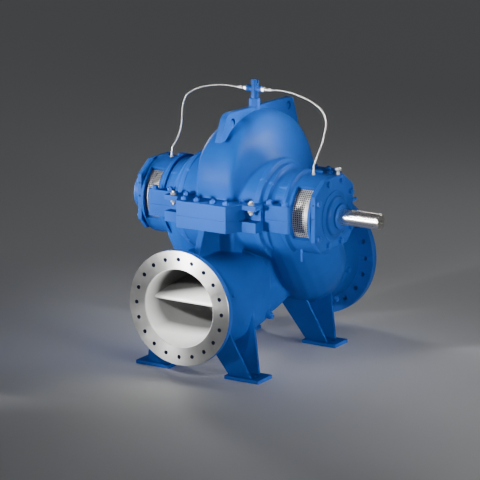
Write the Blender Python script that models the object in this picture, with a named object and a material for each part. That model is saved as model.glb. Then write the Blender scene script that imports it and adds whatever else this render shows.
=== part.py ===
"""Split case pump: a horizontal double-suction centrifugal pump with an axially split casing.

Everything is modelled about the pump datum, the point where the shaft axis crosses the middle
plane of the volute: +X runs along the shaft to the drive end, -Y to the discharge flange,
+Y to the suction flange and +Z up. An empty then stands the pump on the floor, centred.
"""

import math

import bmesh
import bpy
from mathutils import Matrix, Vector

# Clearance between pieces that touch
GAP = 0.0003

# Driving dimensions, in metres from the pump datum
SHAFT_HEIGHT = 0.987
NOZZLE_DROP = 0.517
DISCHARGE_REACH = 0.759
SUCTION_REACH = 1.003
DRIVE_END = 0.995
FREE_END = 0.762

# Flanges: outer radius, bolt circle radius, bolt hole radius, bore radius, thickness
DISCHARGE_FLANGE = dict(outer=0.365, circle=0.310, hole=0.013, bore=0.250, thick=0.044)
SUCTION_FLANGE = dict(outer=0.4225, circle=0.3625, hole=0.015, bore=0.300, thick=0.050)
FLANGE_HOLES = 20

# Planes where the casing ends and the nozzle necks begin
DISCHARGE_NECK = 0.400
SUCTION_NECK = 0.800
DISCHARGE_PIPE = 0.275
SUCTION_PIPE = 0.325

# Volute: crown radius, half width and foot radius by the angle from the front over the top
CROWN = (
    (-45, 0.450), (-20, 0.345), (0, 0.325), (15, 0.355), (62, 0.512), (90, 0.568),
    (115, 0.632), (145, 0.705), (180, 0.725), (225, 0.735), (270, 0.752), (290, 0.830),
)
VOLUTE_HALF = ((0, 0.128), (60, 0.154), (90, 0.186), (180, 0.228), (270, 0.267))
VOLUTE_FOOT = ((0, 0.290), (60, 0.303), (180, 0.312), (240, 0.440), (270, 0.500), (290, 0.450))
# Flank of the volute, as shares of its half width and of its depth from the crown to the foot
FLANK_TOP = ((1.46, 1.0), (1.24, 0.77), (1.08, 0.55), (0.88, 0.32), (0.53, 0.075), (0.17, 0.0))
FLANK_BOTTOM = ((0.95, 1.0), (1.00, 0.72), (0.93, 0.45), (0.75, 0.24), (0.42, 0.060), (0.12, 0.0))
VOLUTE_CORE = 0.150
VOLUTE_STEP = 7.0
RING_SEAT = 0.270

# Flange of the split joint
JOINT_TOP = 0.094
JOINT_BOTTOM = 0.077
JOINT_SIDE = 0.521
LUG = (0.222, 0.335)
LUG_FRONT = 0.402
LUG_BACK = 0.338
LUG_LIP = 0.062
LUG_PAD = 0.010
JACK = (0.284, 0.372)

# Barrels beside the volute and the bearing brackets on their ends
BARREL = 0.256
BARREL_END = 0.434
BRACKET = 0.250
BRACKET_RIM = 0.270
BRACKET_FLANGE = 0.025
BRACKET_STEP = 0.018
BRACKET_INSIDE = 0.222
BRACKET_MOUTH = 0.190
BRACKET_LIP = 0.018
BRACKET_END = dict(drive=0.633, free=0.616)
WINDOW = dict(drive=(0.490, 0.613), free=(0.490, 0.597))
WINDOW_LOW = -31.0
WINDOW_HIGH = 52.6
GUARD = 0.004
PLATE = 0.030
TUBE_FOOT = (0.525, -0.020)
BREATHER_Y = 0.073
DRIP_PIPE = (0.512, -0.140)

# Shaft and what it runs in
SHAFT = 0.050
SHAFT_BODY = 0.060
BEARING_BORE = 0.0508
CASING_BORE = 0.078
SLEEVE = 0.070

# Feet
FOOT_Y = 0.478
FOOT_PAD = dict(inner=0.205, outer=0.455, half=0.085, thick=0.025)
FOOT_SPLIT = dict(front=0.800, rear=0.848)
FOOT_BOLT = (0.395, 0.014)

# Lifting plate on the crown
PLATE_HALF = 0.0215
EYE = 0.028
EYES = ((-0.161, 0.548), (0.523, 0.552))

# Vent cross on the lifting plate, and the flush tubes from it to the seals
VENT_Y = 0.137
VENT_BASE = 0.6070
VENT_ARM = 0.718
TUBE = 0.006
TUBE_DRIVE = (
    (0.1286, 0.137, 0.718), (0.165, 0.135, 0.722), (0.228, 0.128, 0.723), (0.292, 0.118, 0.717),
    (0.356, 0.108, 0.705), (0.420, 0.098, 0.689), (0.476, 0.088, 0.668), (0.525, 0.078, 0.636),
    (0.556, 0.066, 0.596), (0.570, 0.054, 0.552), (0.568, 0.040, 0.507), (0.560, 0.020, 0.440),
    (0.544, 0.000, 0.378), (0.532, -0.013, 0.330), (0.526, -0.0195, 0.303), (0.525, -0.020, 0.2812),
)
TUBE_FREE = (
    (-0.1286, 0.137, 0.718), (-0.175, 0.135, 0.720), (-0.239, 0.128, 0.722), (-0.323, 0.118, 0.711),
    (-0.398, 0.105, 0.691), (-0.451, 0.093, 0.663), (-0.483, 0.083, 0.631), (-0.496, 0.074, 0.592),
    (-0.497, 0.062, 0.542), (-0.490, 0.046, 0.480), (-0.491, 0.028, 0.418), (-0.505, 0.008, 0.354),
    (-0.518, -0.012, 0.322), (-0.524, -0.0195, 0.303), (-0.525, -0.020, 0.2812),
)

MATERIALS = dict(
    blue_paint=((0.020, 0.105, 0.380), 0.42, 0.0),
    grey_primer=((0.560, 0.560, 0.540), 0.50, 0.0),
    bright_steel=((0.620, 0.600, 0.560), 0.28, 1.0),
    stainless=((0.700, 0.690, 0.670), 0.32, 1.0),
    guard_steel=((0.620, 0.600, 0.560), 0.40, 1.0),
)


def clear_scene():
    for obj in list(bpy.data.objects):
        bpy.data.objects.remove(obj)


def make_materials():
    for name, (colour, roughness, metallic) in MATERIALS.items():
        material = bpy.data.materials.new(name)
        material.use_nodes = True
        shader = material.node_tree.nodes["Principled BSDF"]
        shader.inputs["Base Color"].default_value = (*colour, 1.0)
        shader.inputs["Roughness"].default_value = roughness
        shader.inputs["Metallic"].default_value = metallic


def add_mesh(name, verts, faces):
    mesh = bpy.data.meshes.new(name)
    mesh.from_pydata([tuple(v) for v in verts], [], faces)
    bm = bmesh.new()
    bm.from_mesh(mesh)
    bmesh.ops.remove_doubles(bm, verts=bm.verts, dist=1e-6)
    bmesh.ops.recalc_face_normals(bm, faces=bm.faces)
    bm.to_mesh(mesh)
    bm.free()
    obj = bpy.data.objects.new(name, mesh)
    bpy.context.scene.collection.objects.link(obj)
    return obj


def loft(name, loops):
    """A closed solid through loops of points, each with as many points as the next."""
    count = len(loops[0])
    verts = [point for loop in loops for point in loop]
    faces = [tuple(range(count)), tuple(range(len(verts) - count, len(verts)))]
    for level in range(len(loops) - 1):
        low = level * count
        for i in range(count):
            j = (i + 1) % count
            faces.append((low + i, low + j, low + count + j, low + count + i))
    return add_mesh(name, verts, faces)


def prism(name, outline, axis, low, high):
    """A flat outline drawn out along an axis: 0 for X (points are Y, Z), 1 for Y, 2 for Z."""
    def place(u, v, w):
        return {0: (w, u, v), 1: (u, w, v), 2: (u, v, w)}[axis]
    return loft(name, [[place(u, v, w) for u, v in outline] for w in (low, high)])


def box(name, low, high):
    outline = [(low[0], low[1]), (high[0], low[1]), (high[0], high[1]), (low[0], high[1])]
    return prism(name, outline, 2, low[2], high[2])


def turned(name, profile, centre=(0, 0, 0), axis="X", sides=48):
    """A closed profile of (along, radius) points turned about a line through the centre."""
    turn = {
        "X": Matrix.Identity(3),
        "Y": Matrix.Rotation(math.radians(90), 3, "Z"),
        "Z": Matrix.Rotation(math.radians(-90), 3, "Y"),
    }[axis]
    centre = Vector(centre)
    verts = []
    for i in range(sides):
        angle = 2 * math.pi * i / sides
        for along, radius in profile:
            spot = Vector((along, -radius * math.cos(angle), radius * math.sin(angle)))
            verts.append(centre + turn @ spot)
    count = len(profile)
    faces = []
    for i in range(sides):
        k = (i + 1) % sides
        for a in range(count):
            b = (a + 1) % count
            if profile[a][1] == 0 and profile[b][1] == 0:
                continue
            corners = [i * count + a, i * count + b, k * count + b, k * count + a]
            if profile[b][1] == 0:
                corners.pop(2)
            elif profile[a][1] == 0:
                corners.pop(3)
            faces.append(tuple(corners))
    return add_mesh(name, verts, faces)


def rod(name, low, high, radius, centre=(0, 0, 0), axis="X", sides=24):
    return turned(name, [(low, 0), (low, radius), (high, radius), (high, 0)], centre, axis, sides)


def ring(name, low, high, inner, outer, centre=(0, 0, 0), axis="X", sides=48):
    profile = [(low, inner), (low, outer), (high, outer), (high, inner)]
    return turned(name, profile, centre, axis, sides)


def combine(target, others, operation, solver="EXACT"):
    """Applies one Boolean after another to the target, and removes the tools."""
    for other in others:
        modifier = target.modifiers.new("join", "BOOLEAN")
        modifier.operation = operation
        modifier.solver = solver
        modifier.object = other
        graph = bpy.context.evaluated_depsgraph_get()
        result = bpy.data.meshes.new_from_object(target.evaluated_get(graph))
        target.modifiers.clear()
        target.data = result
        bpy.data.objects.remove(other)
    return target


def join(target, *others, solver="EXACT"):
    return combine(target, others, "UNION", solver)


def cut(target, *others, solver="EXACT"):
    return combine(target, others, "DIFFERENCE", solver)


def finish(obj, name, material, smooth=True):
    obj.name = name
    obj.data.name = name
    obj.data.materials.clear()
    obj.data.materials.append(bpy.data.materials[material])
    if smooth:
        obj.data.shade_smooth()
        obj.data.set_sharp_from_angle(angle=math.radians(35))
    return obj


def blend(table, at):
    """A value read between (position, value) pairs."""
    for (a, low), (b, high) in zip(table, table[1:]):
        if at <= b:
            share = max(0.0, (at - a) / (b - a))
            return low + (high - low) * share
    return table[-1][1]


def volute_section(angle):
    """Half of a cut through the volute as (x, radius), from the core out to the crown."""
    crown = blend(CROWN, angle)
    half = blend(VOLUTE_HALF, angle)
    depth = crown - blend(VOLUTE_FOOT, angle)
    low = blend(((150, 0.0), (235, 1.0)), angle)
    profile = []
    for (wide, deep), (wide_low, deep_low) in zip(FLANK_TOP, FLANK_BOTTOM):
        share = wide + low * (wide_low - wide)
        fall = deep + low * (deep_low - deep)
        profile.append((half * share, crown - depth * fall))
    return [(profile[0][0], VOLUTE_CORE)] + profile


def volute_body():
    start, end = CROWN[0][0], CROWN[-1][0]
    steps = round((end - start) / VOLUTE_STEP)
    loops = []
    for i in range(steps + 1):
        angle = start + (end - start) * i / steps
        half = volute_section(angle)
        turn = math.radians(angle)
        profile = half + [(-x, r) for x, r in reversed(half)]
        loops.append([(x, -r * math.cos(turn), r * math.sin(turn)) for x, r in profile])
    return loft("volute", loops)


def rounded_loop(centre_z, half_x, half_z, power, y, count=36):
    """A circle at power 2, squarer the higher the power, in a plane across the nozzle axis."""
    loop = []
    for i in range(count):
        angle = 2 * math.pi * i / count
        c, s = math.cos(angle), math.sin(angle)
        x = half_x * math.copysign(abs(c) ** (2 / power), c)
        z = half_z * math.copysign(abs(s) ** (2 / power), s)
        loop.append((x, y, centre_z + z))
    return loop


def discharge_loops(*ys):
    loops = []
    for y in ys:
        power = blend(((-0.66, 2.0), (-0.52, 2.5), (-0.40, 4.2), (-0.30, 4.2)), y)
        half = blend(((-0.66, DISCHARGE_PIPE), (-0.40, 0.268), (-0.10, 0.262)), y)
        high = blend(((-0.66, DISCHARGE_PIPE), (-0.40, 0.280), (-0.30, 0.278), (-0.10, 0.235)), y)
        loops.append(rounded_loop(-NOZZLE_DROP, half, high, power, y))
    return loops


def suction_lobe(side):
    """One branch of the suction chamber, from the barrel down and back to the suction trunk."""
    path = (
        (0.332, -0.030, -0.020, 0.235), (0.342, 0.030, -0.110, 0.240),
        (0.348, 0.100, -0.215, 0.247), (0.335, 0.190, -0.315, 0.254),
        (0.290, 0.295, -0.385, 0.257), (0.225, 0.400, -0.430, 0.260),
        (0.150, 0.510, -0.470, 0.268), (0.085, 0.615, -0.500, 0.282),
        (0.031, 0.715, -0.515, 0.281),
    )
    points = [Vector((side * x, y, z)) for x, y, z, _ in path]
    loops = []
    for i, point in enumerate(points):
        along = points[min(i + 1, len(points) - 1)] - points[max(i - 1, 0)]
        if i == len(points) - 1:
            along = Vector((0, 1, 0))
        along.normalize()
        across = along.cross(Vector((0, 0, 1))).normalized()
        up = across.cross(along).normalized()
        radius = path[i][3]
        loops.append([
            point + radius * (math.cos(a) * across + math.sin(a) * up)
            for a in [2 * math.pi * k / 28 for k in range(28)]
        ])
    return loft("lobe", loops)


def joint_flange():
    """The flange of the split joint, drawn in plan for one side and mirrored."""
    front = [(0.181, -0.504), (0.236, -LUG_FRONT), (LUG[1], -LUG_FRONT), (LUG[1], -0.312),
             (0.510, -0.312), (JOINT_SIDE, -0.301), (JOINT_SIDE, -0.277), (BARREL_END, -0.277)]
    rear = [(BARREL_END, 0.277), (JOINT_SIDE, 0.277), (JOINT_SIDE, 0.301), (0.510, 0.312),
            (0.370, 0.340), (0.345, 0.560), (0.270, 0.790), (0.180, 0.850)]
    side = front + rear
    outline = side + [(-x, y) for x, y in reversed(side)]
    return prism("joint", outline, 2, -JOINT_BOTTOM, JOINT_TOP)


def barrels():
    half = [(RING_SEAT - 0.03, 0.312), (0.302, 0.312), (0.310, 0.298), (0.336, 0.292),
            (0.350, 0.262), (0.385, BARREL), (BARREL_END, BARREL)]
    profile = [(-x, r) for x, r in reversed(half)] + half + [(BARREL_END, 0)]
    return turned("barrels", [(-BARREL_END, 0)] + profile)


def leg_outline(place, side, depth):
    """The U shape of one leg in plan at a depth below the shaft, open to the outside."""
    front = place == "front"
    centre = (-1 if front else 1) * FOOT_Y
    inner = 0.035 + (depth - 0.60) * 0.52
    outer = 0.266 + (depth - 0.60) * 0.32
    half = (0.175 if front else 0.192) - (depth - 0.60) * (0.310 if front else 0.354)
    wall, web = 0.020, 0.024
    shape = [(outer, -half), (outer, wall - half), (inner + web, wall - half),
             (inner + web, half - wall), (outer, half - wall), (outer, half),
             (inner, half), (inner, -half)]
    return [(side * x, centre + y, -depth) for x, y in shape]


FEET = {
    "foot_front_drive": ("front", 1),
    "foot_front_free": ("front", -1),
    "foot_rear_drive": ("rear", 1),
    "foot_rear_free": ("rear", -1),
}


def splitter_space(sign):
    """The waterway above or below the web of the double volute, seen along the shaft."""
    front, back, rise = -0.660, -0.150, 0.18
    low, high = -NOZZLE_DROP + 0.004, -NOZZLE_DROP + 0.034
    if sign > 0:
        web = [(-0.9, high + 0.3), (-0.9, high - 0.014), (front, high - 0.014),
               (front + 0.02, high), (back, high + rise * (back - front))]
        return web + [(back, high + 0.3)]
    web = [(-0.9, low - 0.3), (-0.9, low + 0.014), (front, low + 0.014), (front + 0.02, low)]
    return web + [(back, low + rise * (back - front)), (back, low - 0.3)]


def bracket_space(side):
    """Room in the casting for one bearing bracket, wider than it by the clearance."""
    step = BARREL_END + BRACKET_FLANGE + 2 * GAP
    profile = [(BARREL_END, 0), (BARREL_END, BRACKET_RIM + GAP), (step, BRACKET_RIM + GAP),
               (step + BRACKET_STEP, BRACKET + GAP), (0.7, BRACKET + GAP), (0.7, 0)]
    return turned("bracket_space", [(side * x, r) for x, r in profile])


def cast_body():
    """Both casing halves, the discharge nozzle and the tops of the legs, as one casting.

    The curved skins meet at very small angles, where the exact solver leaves open edges.
    """
    body = volute_body()
    nozzle_end = -DISCHARGE_REACH + DISCHARGE_FLANGE["thick"] + GAP
    parts = [
        barrels(),
        loft("channel", discharge_loops(nozzle_end, -0.66, -0.59, -0.52, -0.46, -0.40, -0.34,
                                        -0.25, -0.10)),
        suction_lobe(1),
        suction_lobe(-1),
        turned("trunk", [(0.606, 0), (0.606, 0.292), (0.70, 0.314), (SUCTION_NECK, SUCTION_PIPE),
                         (SUCTION_NECK, 0)], (0, 0, -NOZZLE_DROP), "Y"),
        joint_flange(),
        prism("rib", [(-0.495, -0.060), (-0.300, -0.060), (-0.300, -0.300), (-0.580, -0.300),
                      (-0.560, -0.225)], 0, -0.0225, 0.0225),
    ]
    for place, side in FEET.values():
        parts.append(loft("leg", [leg_outline(place, side, 0.60),
                                  leg_outline(place, side, FOOT_SPLIT[place])]))
    join(body, *parts, solver="MANIFOLD")
    tools = [rod("bore", -0.5, 0.5, CASING_BORE, sides=32)]
    for side in (1, -1):
        tools.append(bracket_space(side))
        xs = sorted((side * LUG[0], side * (LUG[1] + 0.05)))
        tools.append(box("notch", (xs[0], -0.45, -LUG_PAD), (xs[1], -LUG_BACK, LUG_LIP)))
    tools.append(rod("suction_pocket", 0.62, 0.9, 0.285, (0, 0, -NOZZLE_DROP), "Y", 48))
    bore = DISCHARGE_FLANGE["bore"] - 0.003
    tools.append(rod("mouth", -0.9, -0.665, bore, (0, 0, -NOZZLE_DROP), "Y", 48))
    for sign in (1, -1):
        half = rod("waterway", -0.68, -0.16, bore - 0.003, (0, 0, -NOZZLE_DROP), "Y", 48)
        combine(half, [prism("side", splitter_space(sign), 0, -0.4, 0.4)], "INTERSECT")
        tools.append(half)
    return cut(body, *tools, solver="MANIFOLD")


def slice_of(whole, low, high, name):
    """The part of a solid inside a box, as a new object."""
    piece = whole.copy()
    piece.data = whole.data.copy()
    bpy.context.scene.collection.objects.link(piece)
    combine(piece, [box("inside", low, high)], "INTERSECT", "MANIFOLD")
    return finish(piece, name, "blue_paint")


def make_castings():
    """The casting parted at the shaft's height, and at the plane where the nozzle begins."""
    whole = cast_body()
    gap = GAP / 2
    under = -JOINT_BOTTOM - gap
    slice_of(whole, (-2, -2, -2), (2, -DISCHARGE_NECK - gap, under), "discharge_nozzle")
    upper = slice_of(whole, (-2, -2, gap), (2, 2, 2), "upper_casing")
    for side in (1, -1):
        cut(upper, rod("jack_hole", 0.02, 0.15, 0.0128, (side * JACK[0], -JACK[1], 0), "Z"),
            solver="MANIFOLD")
    cut(whole, box("above", (-2, -2, -gap), (2, 2, 2)),
        box("ahead", (-2, -2, -2), (2, -DISCHARGE_NECK + gap, under + GAP)), solver="MANIFOLD")
    finish(whole, "lower_casing", "blue_paint")


def flange(name, sizes, low, high, material):
    disc = ring(name, low, high, sizes["bore"], sizes["outer"], (0, 0, -NOZZLE_DROP), "Y", 64)
    tools = []
    for i in range(FLANGE_HOLES):
        angle = 2 * math.pi * i / FLANGE_HOLES
        centre = (sizes["circle"] * math.sin(angle), 0,
                  -NOZZLE_DROP + sizes["circle"] * math.cos(angle))
        tools.append(rod("hole", low - 0.02, high + 0.02, sizes["hole"], centre, "Y", 12))
    cut(disc, *tools)
    return finish(disc, name, material)


def make_discharge():
    face, back = -DISCHARGE_REACH, -DISCHARGE_REACH + DISCHARGE_FLANGE["thick"]
    flange("discharge_flange", DISCHARGE_FLANGE, face, back, "grey_primer")


def make_suction():
    back, face = SUCTION_REACH - SUCTION_FLANGE["thick"], SUCTION_REACH
    flange("suction_flange", SUCTION_FLANGE, back, face, "blue_paint")
    start, end = SUCTION_NECK + GAP, back - GAP
    bore = SUCTION_FLANGE["bore"] - 0.003
    profile = [(start, bore), (start, SUCTION_PIPE), (end - 0.030, SUCTION_PIPE),
               (end - 0.010, 0.331), (end, 0.344), (end, bore)]
    neck = turned("neck", profile, (0, 0, -NOZZLE_DROP), "Y")
    finish(neck, "suction_nozzle", "blue_paint")


def make_feet():
    for name, (place, side) in FEET.items():
        base = SHAFT_HEIGHT - FOOT_PAD["thick"]
        leg = loft("leg", [leg_outline(place, side, FOOT_SPLIT[place] + GAP),
                           leg_outline(place, side, base + 0.004)])
        centre = (-1 if place == "front" else 1) * FOOT_Y
        xs = sorted((side * FOOT_PAD["inner"], side * FOOT_PAD["outer"]))
        pad = box("pad", (xs[0], centre - FOOT_PAD["half"], -SHAFT_HEIGHT),
                  (xs[1], centre + FOOT_PAD["half"], -base))
        join(leg, pad)
        spot = (side * FOOT_BOLT[0], centre, 0)
        cut(leg, rod("bolt", -1.1, -0.94, FOOT_BOLT[1], spot, "Z", 16))
        finish(leg, name, "blue_paint", smooth=False)


def make_lifting_plate():
    """The plate along the crown, with its underside on the same facets as the volute."""
    start, end = CROWN[0][0], CROWN[-1][0]
    steps = round((end - start) / VOLUTE_STEP)
    under = []
    for i in range(steps + 1):
        angle = start + (end - start) * i / steps
        if 54 < angle < 152:
            radius = blend(CROWN, angle) + GAP / math.cos(math.radians(VOLUTE_STEP / 2))
            turn = math.radians(angle)
            under.append((-radius * math.cos(turn), radius * math.sin(turn)))
    outline = under + [(0.578, 0.601), (-0.226, 0.611)]
    plate = prism("plate", outline, 0, -PLATE_HALF, PLATE_HALF)
    for y, z in EYES:
        cut(plate, rod("eye", -0.1, 0.1, EYE, (0, y, z), "X", 24))
    finish(plate, "lifting_plate", "blue_paint", smooth=False)


def make_vent():
    nut = rod("nut", VENT_BASE + GAP, VENT_BASE + 0.050, 0.036, (0, VENT_Y, 0), "Z", 6)
    finish(nut, "vent_nut", "blue_paint", smooth=False)
    stem = rod("stem", VENT_BASE + 0.050 + GAP, 0.777, 0.0235, (0, VENT_Y, 0), "Z")
    join(stem, rod("arms", -0.055, 0.055, 0.0215, (0, VENT_Y, VENT_ARM), "X"))
    finish(stem, "vent_cross", "blue_paint")
    for name, side in (("tube_coupling_drive", 1), ("tube_coupling_free", -1)):
        profile = [(0.055 + GAP, 0), (0.055 + GAP, 0.017), (0.088, 0.017), (0.092, 0.011),
                   (0.128 - GAP, 0.009), (0.128 - GAP, 0)]
        profile = [(side * x, r) for x, r in profile]
        finish(turned("coupling", profile, (0, VENT_Y, VENT_ARM), "X", 20), name, "stainless")


def make_tube(name, route):
    """A bent tube through the route's own points, on a smooth curve, capped at both ends."""
    points = [Vector(p) for p in route]
    smooth = []
    for i in range(len(points) - 1):
        before = points[max(i - 1, 0)]
        after = points[min(i + 2, len(points) - 1)]
        a, b = points[i], points[i + 1]
        pieces = max(1, round((b - a).length / (5 * TUBE)))
        for k in range(pieces):
            t = k / pieces
            smooth.append(0.5 * (2 * a + (b - before) * t
                                 + (2 * before - 5 * a + 4 * b - after) * t * t
                                 + (3 * a - before - 3 * b + after) * t ** 3))
    smooth.append(points[-1])
    curve = bpy.data.curves.new(name, "CURVE")
    curve.dimensions = "3D"
    curve.bevel_depth = TUBE
    curve.bevel_resolution = 2
    curve.use_fill_caps = True
    spline = curve.splines.new("POLY")
    spline.points.add(len(smooth) - 1)
    for spot, point in zip(spline.points, smooth):
        spot.co = (*point, 1)
    obj = bpy.data.objects.new(name, curve)
    bpy.context.scene.collection.objects.link(obj)
    curve.materials.append(bpy.data.materials["stainless"])
    return obj


def sector(name, side, inner, outer, low, high, x_range):
    """A curved wall about the shaft between two angles above the horizontal, front or rear."""
    steps = 12
    angles = [math.radians(low + (high - low) * i / steps) for i in range(steps + 1)]
    outline = [(side * r * math.cos(a), r * math.sin(a))
               for r, row in ((inner, angles), (outer, angles[::-1])) for a in row]
    return prism(name, outline, 0, *x_range)


def make_bearing_end(end, side):
    """Bracket, housing, cover, guards, tube foot and seal gland of one end of the pump."""
    def mirrored(profile):
        return [(side * x, r) for x, r in profile]
    start, mouth = BARREL_END + GAP, BRACKET_END[end]
    wall = start + BRACKET_FLANGE
    lip = mouth - BRACKET_LIP
    bracket = turned("bracket", mirrored([
        (start, 0.086), (start, BRACKET_RIM), (wall, BRACKET_RIM), (wall + BRACKET_STEP, BRACKET),
        (mouth, BRACKET), (mouth, BRACKET_MOUTH), (lip, BRACKET_MOUTH), (lip, BRACKET_INSIDE),
        (wall, BRACKET_INSIDE), (wall, 0.086)]), sides=48)
    window = WINDOW[end]
    xs = sorted(side * x for x in window)
    for face in (-1, 1):
        cut(bracket, sector("window", face, 0.120, 0.320, WINDOW_LOW, WINDOW_HIGH, xs))
    socket = (side * TUBE_FOOT[0], TUBE_FOOT[1], 0)
    cut(bracket, rod("socket", 0.241, 0.3, 0.016, socket, "Z", 20))
    if end == "drive":
        drain = (DRIP_PIPE[0], DRIP_PIPE[1], 0)
        cut(bracket, rod("drain", -0.300, -0.190, 0.0055 + GAP, drain, "Z", 12))
        drip = rod("drip", -0.285, -0.190 - GAP, 0.0055, drain, "Z", 12)
        finish(drip, "drip_pipe_drive", "blue_paint")
    finish(bracket, "bearing_bracket_" + end, "blue_paint")

    guard_xs = sorted(side * x for x in (window[0] - 0.010, lip - GAP))
    for face, place in ((-1, "front"), (1, "rear")):
        inner = BRACKET_INSIDE - 0.0008 - GUARD
        guard = sector("guard", face, inner, inner + GUARD, WINDOW_LOW - 6, WINDOW_HIGH + 6, guard_xs)
        finish(guard, f"guard_{place}_{end}", "guard_steel")

    low = mouth + GAP
    outline = [(-0.170, -0.200), (0.170, -0.200), (0.2385, -0.130), (0.2385, 0.160),
               (0.112, 0.245), (-0.112, 0.245), (-0.2385, 0.160), (-0.2385, -0.130)]
    housing = prism("housing", outline, 0, *sorted((side * low, side * (low + PLATE))))
    inside = ring("inside", side * 0.572, side * (low + 0.005), 0.062, 0.132, sides=32)
    join(housing, inside)
    cut(housing, rod("bore", -0.9, 0.9, 0.062, sides=32))
    finish(housing, "bearing_housing_" + end, "blue_paint")

    seat = low + PLATE + GAP
    skirt = [(seat, 0.158), (seat + 0.007, 0.157), (seat + 0.012, 0.128)]
    if side > 0:
        profile = [(seat, BEARING_BORE)] + skirt + [
            (seat + 0.032, 0.124), (seat + 0.038, 0.116), (seat + 0.039, 0.079),
            (seat + 0.053, 0.077), (seat + 0.053, BEARING_BORE)]
    else:
        profile = [(seat, 0)] + skirt + [
            (FREE_END - 0.008, 0.122), (FREE_END, 0.112), (FREE_END, 0)]
        blind = seat + 0.050
        profile = [(blind, 0), (blind, BEARING_BORE), (seat, BEARING_BORE)] + profile[1:]
    finish(turned("cover", mirrored(profile), sides=48), "bearing_cover_" + end, "blue_paint")

    if end == "drive":
        cup = [(0.245 + GAP, 0), (0.245 + GAP, 0.010), (0.268, 0.010), (0.268, 0.016),
               (0.276, 0.021), (0.289, 0.021), (0.289, 0)]
        spot = (low + PLATE / 2, BREATHER_Y, 0)
        finish(turned("cup", cup, spot, "Z", 16), "breather_drive", "stainless")

    gland_start = wall + GAP
    gland = ring("gland", side * gland_start, side * (gland_start + 0.030), 0.0785, 0.128, sides=32)
    finish(gland, "seal_gland_" + end, "blue_paint")

    elbow = [(0.241 + GAP, 0), (0.241 + GAP, 0.0105), (0.262, 0.0105), (0.264, 0.0085),
             (0.280, 0.0085), (0.280, 0)]
    finish(turned("elbow", elbow, socket, "Z", 16), "tube_foot_" + end, "stainless")


def make_jack_screws():
    for name, side in (("jack_screw_drive", 1), ("jack_screw_free", -1)):
        spot = (side * JACK[0], -JACK[1], 0)
        profile = [(0.028, 0), (0.028, 0.006), (0.034, 0.0125), (JOINT_TOP + GAP, 0.0125),
                   (JOINT_TOP + GAP, 0.020), (0.114, 0.020), (0.120, 0.014), (0.120, 0)]
        finish(turned("jack", profile, spot, "Z", 18), name, "stainless")


def make_plugs():
    probe = rod("probe", 0.2385 + GAP, 0.300, 0.013, (0.648, 0, 0.050), "Y", 16)
    finish(probe, "bearing_probe", "blue_paint")


def make_rotor():
    profile = [(-0.690, 0), (-0.690, SHAFT), (-0.450, SHAFT), (-0.450, SHAFT_BODY),
               (0.450, SHAFT_BODY), (0.450, SHAFT), (DRIVE_END - 0.004, SHAFT),
               (DRIVE_END, SHAFT - 0.004), (DRIVE_END, 0.009), (DRIVE_END - 0.012, 0)]
    finish(turned("shaft", profile, sides=48), "shaft", "bright_steel")
    for name, side in (("shaft_sleeve_drive", 1), ("shaft_sleeve_free", -1)):
        sleeve = ring("sleeve", side * (0.450 + GAP), side * 0.556, SHAFT + GAP, SLEEVE, sides=32)
        finish(sleeve, name, "stainless")


def stand_on_floor():
    datum = bpy.data.objects.new("pump_datum", None)
    bpy.context.scene.collection.objects.link(datum)
    datum.location = ((FREE_END - DRIVE_END) / 2, (DISCHARGE_REACH - SUCTION_REACH) / 2, SHAFT_HEIGHT)
    for obj in bpy.data.objects:
        if obj is not datum:
            obj.parent = datum


def main():
    clear_scene()
    make_materials()
    make_castings()
    make_discharge()
    make_suction()
    make_feet()
    make_lifting_plate()
    make_vent()
    make_tube("flush_tube_drive", TUBE_DRIVE)
    make_tube("flush_tube_free", TUBE_FREE)
    make_bearing_end("drive", 1)
    make_bearing_end("free", -1)
    make_jack_screws()
    make_plugs()
    make_rotor()
    stand_on_floor()


main()
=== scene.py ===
"""Split case pump: the dressed model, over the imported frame.

Pieces are drawn about the pump datum, where the shaft axis crosses the middle plane of the
scroll (+X to the drive end, -Y out of the discharge, +Z up), and are then set in their place.
"""

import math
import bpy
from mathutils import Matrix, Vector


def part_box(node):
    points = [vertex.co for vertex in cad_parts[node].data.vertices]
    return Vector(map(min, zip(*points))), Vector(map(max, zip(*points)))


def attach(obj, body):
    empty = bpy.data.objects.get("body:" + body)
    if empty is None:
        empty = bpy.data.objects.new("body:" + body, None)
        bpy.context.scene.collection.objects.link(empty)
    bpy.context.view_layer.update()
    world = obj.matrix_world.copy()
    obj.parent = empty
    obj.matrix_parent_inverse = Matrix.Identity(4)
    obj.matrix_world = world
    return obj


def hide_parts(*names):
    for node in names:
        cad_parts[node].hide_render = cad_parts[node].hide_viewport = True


bl_info = {
    "name": "Split Case Pump",
    "version": (1, 0, 0),
    "blender": (4, 5, 0),
    "location": "View3D > Sidebar > Pump",
    "description": "Builds a horizontal split case pump with its castings, bearings and fittings",
    "category": "Object",
}

import bmesh
import bpy
from bpy.props import FloatProperty, FloatVectorProperty, IntProperty, PointerProperty
from mathutils import Matrix, Vector

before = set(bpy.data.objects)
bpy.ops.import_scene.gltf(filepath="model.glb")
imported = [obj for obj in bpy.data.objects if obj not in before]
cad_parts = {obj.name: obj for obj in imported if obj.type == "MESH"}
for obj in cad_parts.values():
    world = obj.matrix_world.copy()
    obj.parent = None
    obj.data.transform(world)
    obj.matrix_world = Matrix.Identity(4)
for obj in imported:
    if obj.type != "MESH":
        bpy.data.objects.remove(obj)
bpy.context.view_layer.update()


def middle(node, axis):
    low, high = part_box(node)
    return (low[axis] + high[axis]) / 2


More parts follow.
